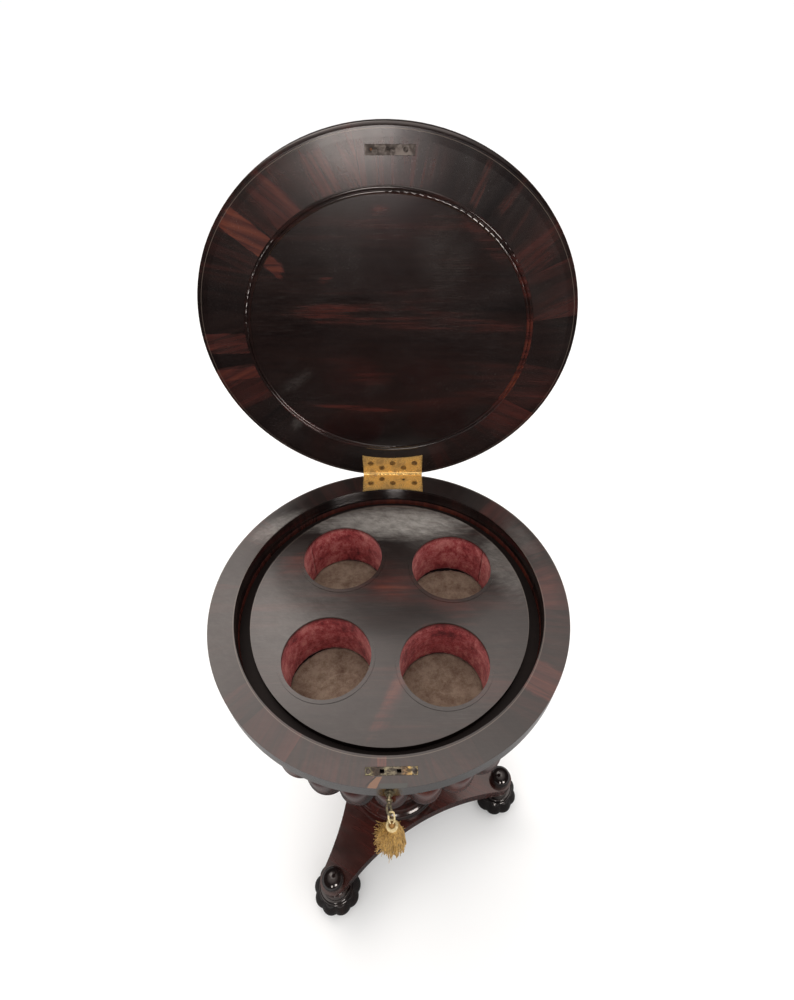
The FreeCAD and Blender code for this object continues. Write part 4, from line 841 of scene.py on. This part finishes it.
# the bead's marks lift it towards red: the one on its right is a painted highlight, and the other lightens
# its lower left
beadWood = rosewood("beadRosewood", facing, lidCentre, lift=-0.02, rough=0.13, relief=0.0, marks=(
    (0.20, (165, 20), (34, 130), 0, 1, 0.4, 0.9), (0.12, (-100, -130), (80, 40), -40, 1, 0.4, 0.9)))
rimBandWood = rosewood("rimBandRosewood", centre=axis, leaves=26.0, seed=3.0, contrast=0.10, grain=0.8,
                       haze=0.03, rough=0.36, coatRough=0.26, relief=0.05, scratches=0.03,
                       marks=rimMarks, sheenSmears=rimSheenSmears, bare=rimRepairs,
                       edgeHighlights=((190.0, 0.7, 0.30, edgeHighlight), (219.6, 0.6, 0.22, edgeHighlight)))
friezeWood = rosewood("friezeRosewood", centre=axis, leaves=30.0, seed=5.0, lift=-0.02, rough=0.16,
                      coat=0.3)
print("rosewood is ready")


# ---- plain joinery wood, metals, velvet and silk ----

def plainWood(name, dark, middle, light):
    material, tree, place = newMaterial(name)
    figure = useGroup(tree, woodFigure, {"Vector": place, "Bands": 12.0})
    colour = ramp(tree, figure["Figure"], ((0.3, dark), (0.5, middle), (0.7, light)))
    finish(tree, {"Base Color": colour, "Roughness": 0.6, "Specular IOR Level": 0.2},
           figure["Pores"], -0.2, 0.0002)
    return material


def metal(name, bright, stain, stainShare, rough, scale, whole):
    material, tree, place = newMaterial(name)
    cloud = noise(tree, place, scale, 6.0, 0.65, 0.6)
    fine = noise(tree, place, scale * 9, 3.0)
    mask = spread(tree, plus(tree, cloud, times(tree, fine, 0.12)), 0.62 - stainShare * 0.3,
                  0.74 - stainShare * 0.22)
    finish(tree, {"Base Color": blendColours(tree, mask, bright, stain),
                  "Roughness": spread(tree, mask, 0.0, 1.0, rough, rough + 0.25),
                  "Metallic": spread(tree, mask, 0.0, 1.0, whole, whole * 0.6)}, cloud, 0.02, 0.0002)
    return material


eatenBrass = {  # the lock's face, from its left end to its right end
    "from": -0.0236, "to": 0.0284, "dim": (0.72, 0.72, 0.72), "pit": (0.030, 0.020, 0.015),
    "tones": (
        (0.0, (0.30, 0.27, 0.15)), (0.09, (0.55, 0.50, 0.26)), (0.15, (0.11, 0.075, 0.05)),
        (0.27, (0.055, 0.038, 0.03)), (0.34, (0.36, 0.32, 0.20)), (0.52, (0.24, 0.21, 0.14)),
        (0.66, (0.20, 0.17, 0.12)), (0.78, (0.48, 0.29, 0.14)), (0.86, (0.66, 0.44, 0.14)),
        (0.93, (0.42, 0.39, 0.30)), (1.0, (0.50, 0.36, 0.12))),
}


def corrodedBrass():
    # bright at the left tip, brown and eaten, then grey, with gold left at the right end
    material, tree, place = newMaterial("lockBrass")
    across = parts(tree, stretch(tree, place, place=axis))["X"]
    ways = spread(tree, across, eatenBrass["from"], eatenBrass["to"])
    cloud = noise(tree, place, 330.0, 5.0, 0.7, 1.2)
    ways = plus(tree, ways, times(tree, minus(tree, cloud, 0.5), 0.34))
    colour = blendColours(tree, 1.0, ramp(tree, ways, eatenBrass["tones"]), eatenBrass["dim"], "MULTIPLY")
    eaten = noise(tree, stretch(tree, place, (0.5, 1.0, 1.0)), 420.0, 5.0, 0.75, 0.8)
    eaten = spread(tree, eaten, 0.45, 0.53)
    colour = blendColours(tree, times(tree, eaten, 0.85), colour, eatenBrass["pit"])
    finish(tree, {"Base Color": colour, "Roughness": spread(tree, eaten, 0.0, 1.0, 0.36, 0.75),
                  "Metallic": spread(tree, eaten, 0.0, 1.0, 0.55, 0.1)}, cloud, 0.5, 0.0006)
    return material


def velvet(name, deep, worn, dark, wear, rings=()):
    material, tree, place = newMaterial(name)
    patches = noise(tree, stretch(tree, place, (1, 1, 0.7)), 95.0, 8.0, 0.82)
    broad = noise(tree, stretch(tree, place, place=(0.3, 0.1, 0.2)), 30.0, 3.0, 0.6)
    pile = noise(tree, place, 1100.0, 2.0, 0.6)
    nap = plus(tree, times(tree, patches, 0.65), times(tree, broad, 0.35))
    nap = plus(tree, nap, times(tree, minus(tree, pile, 0.5), 0.22))
    colour = ramp(tree, nap, ((0.39 - wear, dark), (0.485 - wear, deep), (0.61 - wear, worn)))
    # the wall is in shade just below the lip
    shaded = spread(tree, parts(tree, place)["Z"], rimTop - 0.0300, rimTop - 0.0232, 0.0, 0.85)
    colour = blendColours(tree, shaded, colour, (0.016, 0.006, 0.006))
    local = stretch(tree, place, place=axis)
    for radius, width, amount, centre in rings:
        # a ring worn into the pile
        line = times(tree, circle(tree, local, radius, width, centre), spread(tree, patches, 0.35, 0.6))
        colour = blendColours(tree, times(tree, line, amount), colour, (0.36, 0.29, 0.22))
    height = plus(tree, pile, times(tree, patches, 1.5))
    finish(tree, {"Base Color": colour, "Roughness": 0.95, "Specular IOR Level": 0.15, "Sheen Weight": 0.25,
                  "Sheen Roughness": 0.45, "Sheen Tint": (0.95, 0.62, 0.58, 1.0)}, height, 0.6, 0.0007)
    return material


def silk(name, light, shade, scale):
    material, tree, place = newMaterial(name)
    # the mask is partly the silk's own uneven colour and partly painted shade: dark between the strands and
    # locks, light on them
    strand = noise(tree, stretch(tree, place, (1.0, 1.0, 0.06)), scale, 3.0, 0.6)
    lock = noise(tree, stretch(tree, place, (1.0, 1.0, 0.10)), 520.0, 3.0, 0.6)
    cloud = noise(tree, place, 160.0, 3.0)
    mask = plus(tree, times(tree, strand, 0.6), times(tree, cloud, 0.25))
    mask = spread(tree, plus(tree, mask, times(tree, lock, 0.7)), 0.60, 0.92)
    colour = blendColours(tree, mask, shade, light)
    finish(tree, {"Base Color": colour, "Roughness": 0.55, "Specular IOR Level": 0.3}, strand, 0.2, 0.0002)
    return material


carcass = plainWood("carcassMahogany", (0.10, 0.035, 0.016), (0.20, 0.075, 0.035), (0.30, 0.13, 0.06))
# painted shade: near-black wood for the core pieces that show only down the dark gaps round the tray and
# the wells
paintedShadeWood = plainWood("paintedShadeCarcass", (0.0050, 0.0026, 0.0024), (0.0080, 0.0040, 0.0034),
                        (0.013, 0.0064, 0.0050))
brass = metal("hingeBrass", (0.88, 0.60, 0.23), (0.46, 0.27, 0.09), 0.22, 0.22, 45.0, 0.75)
screwBrass = metal("screwBrass", (0.42, 0.26, 0.09), (0.15, 0.08, 0.03), 0.5, 0.30, 300.0, 0.85)
wornBrass = corrodedBrass()
steel = metal("linkSteel", (0.17, 0.15, 0.135), (0.075, 0.058, 0.050), 0.5, 0.45, 160.0, 0.8)
darkSteel = metal("screwSteel", (0.10, 0.085, 0.075), (0.03, 0.022, 0.018), 0.5, 0.42, 300.0, 0.8)
keyMetal = metal("keyMetal", (0.34, 0.30, 0.19), (0.12, 0.10, 0.065), 0.5, 0.35, 200.0, 0.9)
crimson = velvet("crimsonVelvet", (0.36, 0.050, 0.054), (0.60, 0.21, 0.19), (0.11, 0.012, 0.016), 0.0)
brownVelvet = velvet("brownVelvet", (0.205, 0.150, 0.108), (0.31, 0.25, 0.185), (0.125, 0.085, 0.060), 0.02,
                     ((33.0, 2.2, 0.55, (-60, -84)),))
goldSilk = silk("goldSilk", (0.78, 0.49, 0.14), (0.22, 0.105, 0.020), 1500.0)
# painted shade: the head's silk is the gold silk darkened, as it lies in shadow inside the neck ring
shadedHeadSilk = silk("shadedHeadSilk", (0.42, 0.22, 0.06), (0.22, 0.10, 0.025), 2600.0)
creamSilk = silk("creamCord", (0.86, 0.72, 0.42), (0.60, 0.45, 0.21), 1400.0)
print("metals, velvet and silk are ready")


# ---- finishes on the CAD pieces ----

finishes = {
    "column_socle column_lobed_collar column_shaft column_capital bowl_dish": turnedWood,
    "lobed_bowl_ring": lobeWood,
    "recess_lining": liningWood,
    "bun_foot_front_left bun_foot_right bun_foot_back_left": blackWood,
    "platform_boss_front_left platform_boss_right platform_boss_back_left": blackWood,
    "lid_edge_moulding": lidEdgeWood, "lid_bead": beadWood,
    "rim_crossband": rimBandWood, "frieze_veneer": friezeWood, "lid_crossband": lidBandWood,
    "tray_veneer well_lip_rings": trayWood, "lid_panel": lidPanelWood, "lid_top_veneer": lidTopWood,
    "platform_veneer platform_core": platformWood,
    "foot_dowels box_floor lid_board": carcass,
    "well_deck frieze_ring tray_board well_tub_1 well_tub_2 well_tub_3 well_tub_4": paintedShadeWood,
    "hinge_leaf_rim hinge_leaf_lid hinge_pin": brass, "hinge_screws_rim hinge_screws_lid": screwBrass,
    "lock_selvage": wornBrass, "key key_escutcheon": keyMetal,
    "lock_case lock_bolt link_plate": steel, "lock_screws link_plate_screws capital_screws": darkSteel,
    "velvet_wall_1 velvet_wall_2 velvet_wall_3 velvet_wall_4": crimson,
    "velvet_floor_1 velvet_floor_2 velvet_floor_3 velvet_floor_4": brownVelvet,
}
for names, material in finishes.items():
    for name in names.split():
        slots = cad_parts[name].data.materials
        slots.clear()
        slots.append(material)


# ---- the velvet linings of the four wells ----

lining = {
    "radius": 0.0544, "pile": 0.0011, "uneven": 0.0005, "low": rimTop - 0.0979, "high": rimTop - 0.0226,
    "wallSides": 150, "wallRows": 24, "seamGap": 0.0007, "seamCurl": 0.0006, "topUneven": 0.0003,
    "floorRadius": 0.0540, "floorTop": rimTop - 0.0982, "floorFoot": rimTop - 0.0994,
    "floorSides": 144, "floorRings": 16, "floorGap": 0.0003, "floorFray": 0.00025, "floorUneven": 0.0003,
    "seams": {1: 152, 2: 30, 3: 205, 4: 330},  # where a wall's ends meet, in degrees
    # where a floor's edge has lifted: its middle and half width in degrees, how far in and how far up
    "lifted": {1: (80, 30, 0.0008, 0.0005), 2: (93, 62, 0.0052, 0.0016), 3: (128, 48, 0.0030, 0.0010),
               4: (100, 40, 0.0008, 0.0004)},
}


def wobble(x, y, seed):
    # a smooth uneven value between -1 and 1
    return (math.sin(x * 3.1 + seed) + math.sin(y * 4.3 + seed * 1.7 + x * 1.3)
            + math.sin((x + y) * 7.9 + seed * 2.3) + 0.6 * math.sin(x * 17.3 - y * 11.1 + seed)) / 3.6


def velvetWall(bm, number, centre):
    seam = math.radians(lining["seams"][number])
    gap = lining["seamGap"] / lining["radius"]
    sides, rows = lining["wallSides"], lining["wallRows"]
    faces = []
    for pile in (False, True):
        grid = []
        for row in range(rows + 1):
            up = row / rows
            ring = []
            for side in range(sides + 1):
                turn = seam + gap + (2 * math.pi - 2 * gap) * side / sides
                size, height = lining["radius"], lining["low"] + (lining["high"] - lining["low"]) * up
                if pile:
                    # the ends curl off the tub beside the seam
                    near = max(0.0, 1 - min(side, sides - side) / 4)
                    size -= lining["pile"] + lining["uneven"] * wobble(turn * 2.2, up * 4.0, number * 1.9)
                    size -= lining["seamCurl"] * near * (0.4 + 0.6 * up)
                if row == rows:
                    height -= lining["topUneven"] * (1 + wobble(turn * 5, 0, number))
                ring.append(bm.verts.new(around(centre, turn, size, height)))
            grid.append(ring)
        faces.append(grid)
        for low, high in zip(grid, grid[1:]):
            joinRings(bm, low, high, closed=False)
    outer, inner = faces
    for end in (0, -1):
        joinRings(bm, outer[end], inner[end], closed=False)
        joinRings(bm, [ring[end] for ring in outer], [ring[end] for ring in inner], closed=False)


def velvetFloor(bm, number, centre):
    middle, half, inward, upward = lining["lifted"][number]
    sides, rings = lining["floorSides"], lining["floorRings"]
    edges = []
    for level, uneven in ((lining["floorTop"], lining["floorUneven"]), (lining["floorFoot"], 0.0)):
        grid = []
        for ring in range(rings + 1):
            share = ring / rings
            row = []
            for side in range(sides if ring else 1):
                turn = 2 * math.pi * side / sides
                off = abs((math.degrees(turn) - middle + 180) % 360 - 180)
                loose = max(0.0, 1 - off / half)
                loose = loose * loose * (3 - 2 * loose)
                ragged = 1 + 0.25 * wobble(turn * 9, number, 3.0) + 0.12 * wobble(turn * 31, 0, number)
                cut = lining["floorGap"] + (inward * loose + lining["floorFray"]) * ragged
                x, y = math.cos(turn) * share * 6, math.sin(turn) * share * 6
                height = level + uneven * wobble(x, y, number * 2.7) + upward * loose * share ** 6
                size = (lining["floorRadius"] - cut) * share
                row.append(bm.verts.new(around(centre, turn, size, height)))
            grid.append(row)
        for side in range(sides):
            bm.faces.new((grid[0][0], grid[1][side], grid[1][(side + 1) % sides]))
        for low, high in zip(grid[1:], grid[2:]):
            joinRings(bm, low, high)
        edges.append(grid[-1])
    joinRings(bm, *edges)


for number in (1, 2, 3, 4):
    low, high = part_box(f"velvet_wall_{number}")
    centre = Vector(((low[0] + high[0]) / 2, (low[1] + high[1]) / 2, 0))
    mesh = meshFrom(f"velvetWall{number}", velvetWall, number, centre)
    wall = newPiece(mesh, "stand", crimson, f"velvet_wall_{number}")
    mesh = meshFrom(f"velvetFloor{number}", velvetFloor, number, centre)
    floor = newPiece(mesh, "stand", brownVelvet, f"velvet_floor_{number}")
print("the wells are lined")


# ---- the silk pieces ----

loop = newPiece(meshFrom("tasselLoop", twisted, cordLine, cord["diameter"] / 2, cord["lay"]),
                "tassel_cord", creamSilk, "tassel_cord")
neck = newPiece(ringMesh("tasselNeckRing", "ring"), "tassel", creamSilk, "tassel_knot")
core = newPiece(meshFrom("tasselHead", headCore), "tassel", shadedHeadSilk, "tassel_knot")
band = newPiece(ringMesh("tasselBand", "band"), "tassel", creamSilk, "tassel_collar")
newPiece(strandMesh("tasselStrands", goldSilk), "tassel", node="tassel_skirt")
newPiece(meshFrom("tasselStrays", strayThreads), "tassel", goldSilk)
tuple(cordLine[0])
[tuple(point) for point in cordLine]
print("cord and tassel are hung")

low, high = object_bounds()
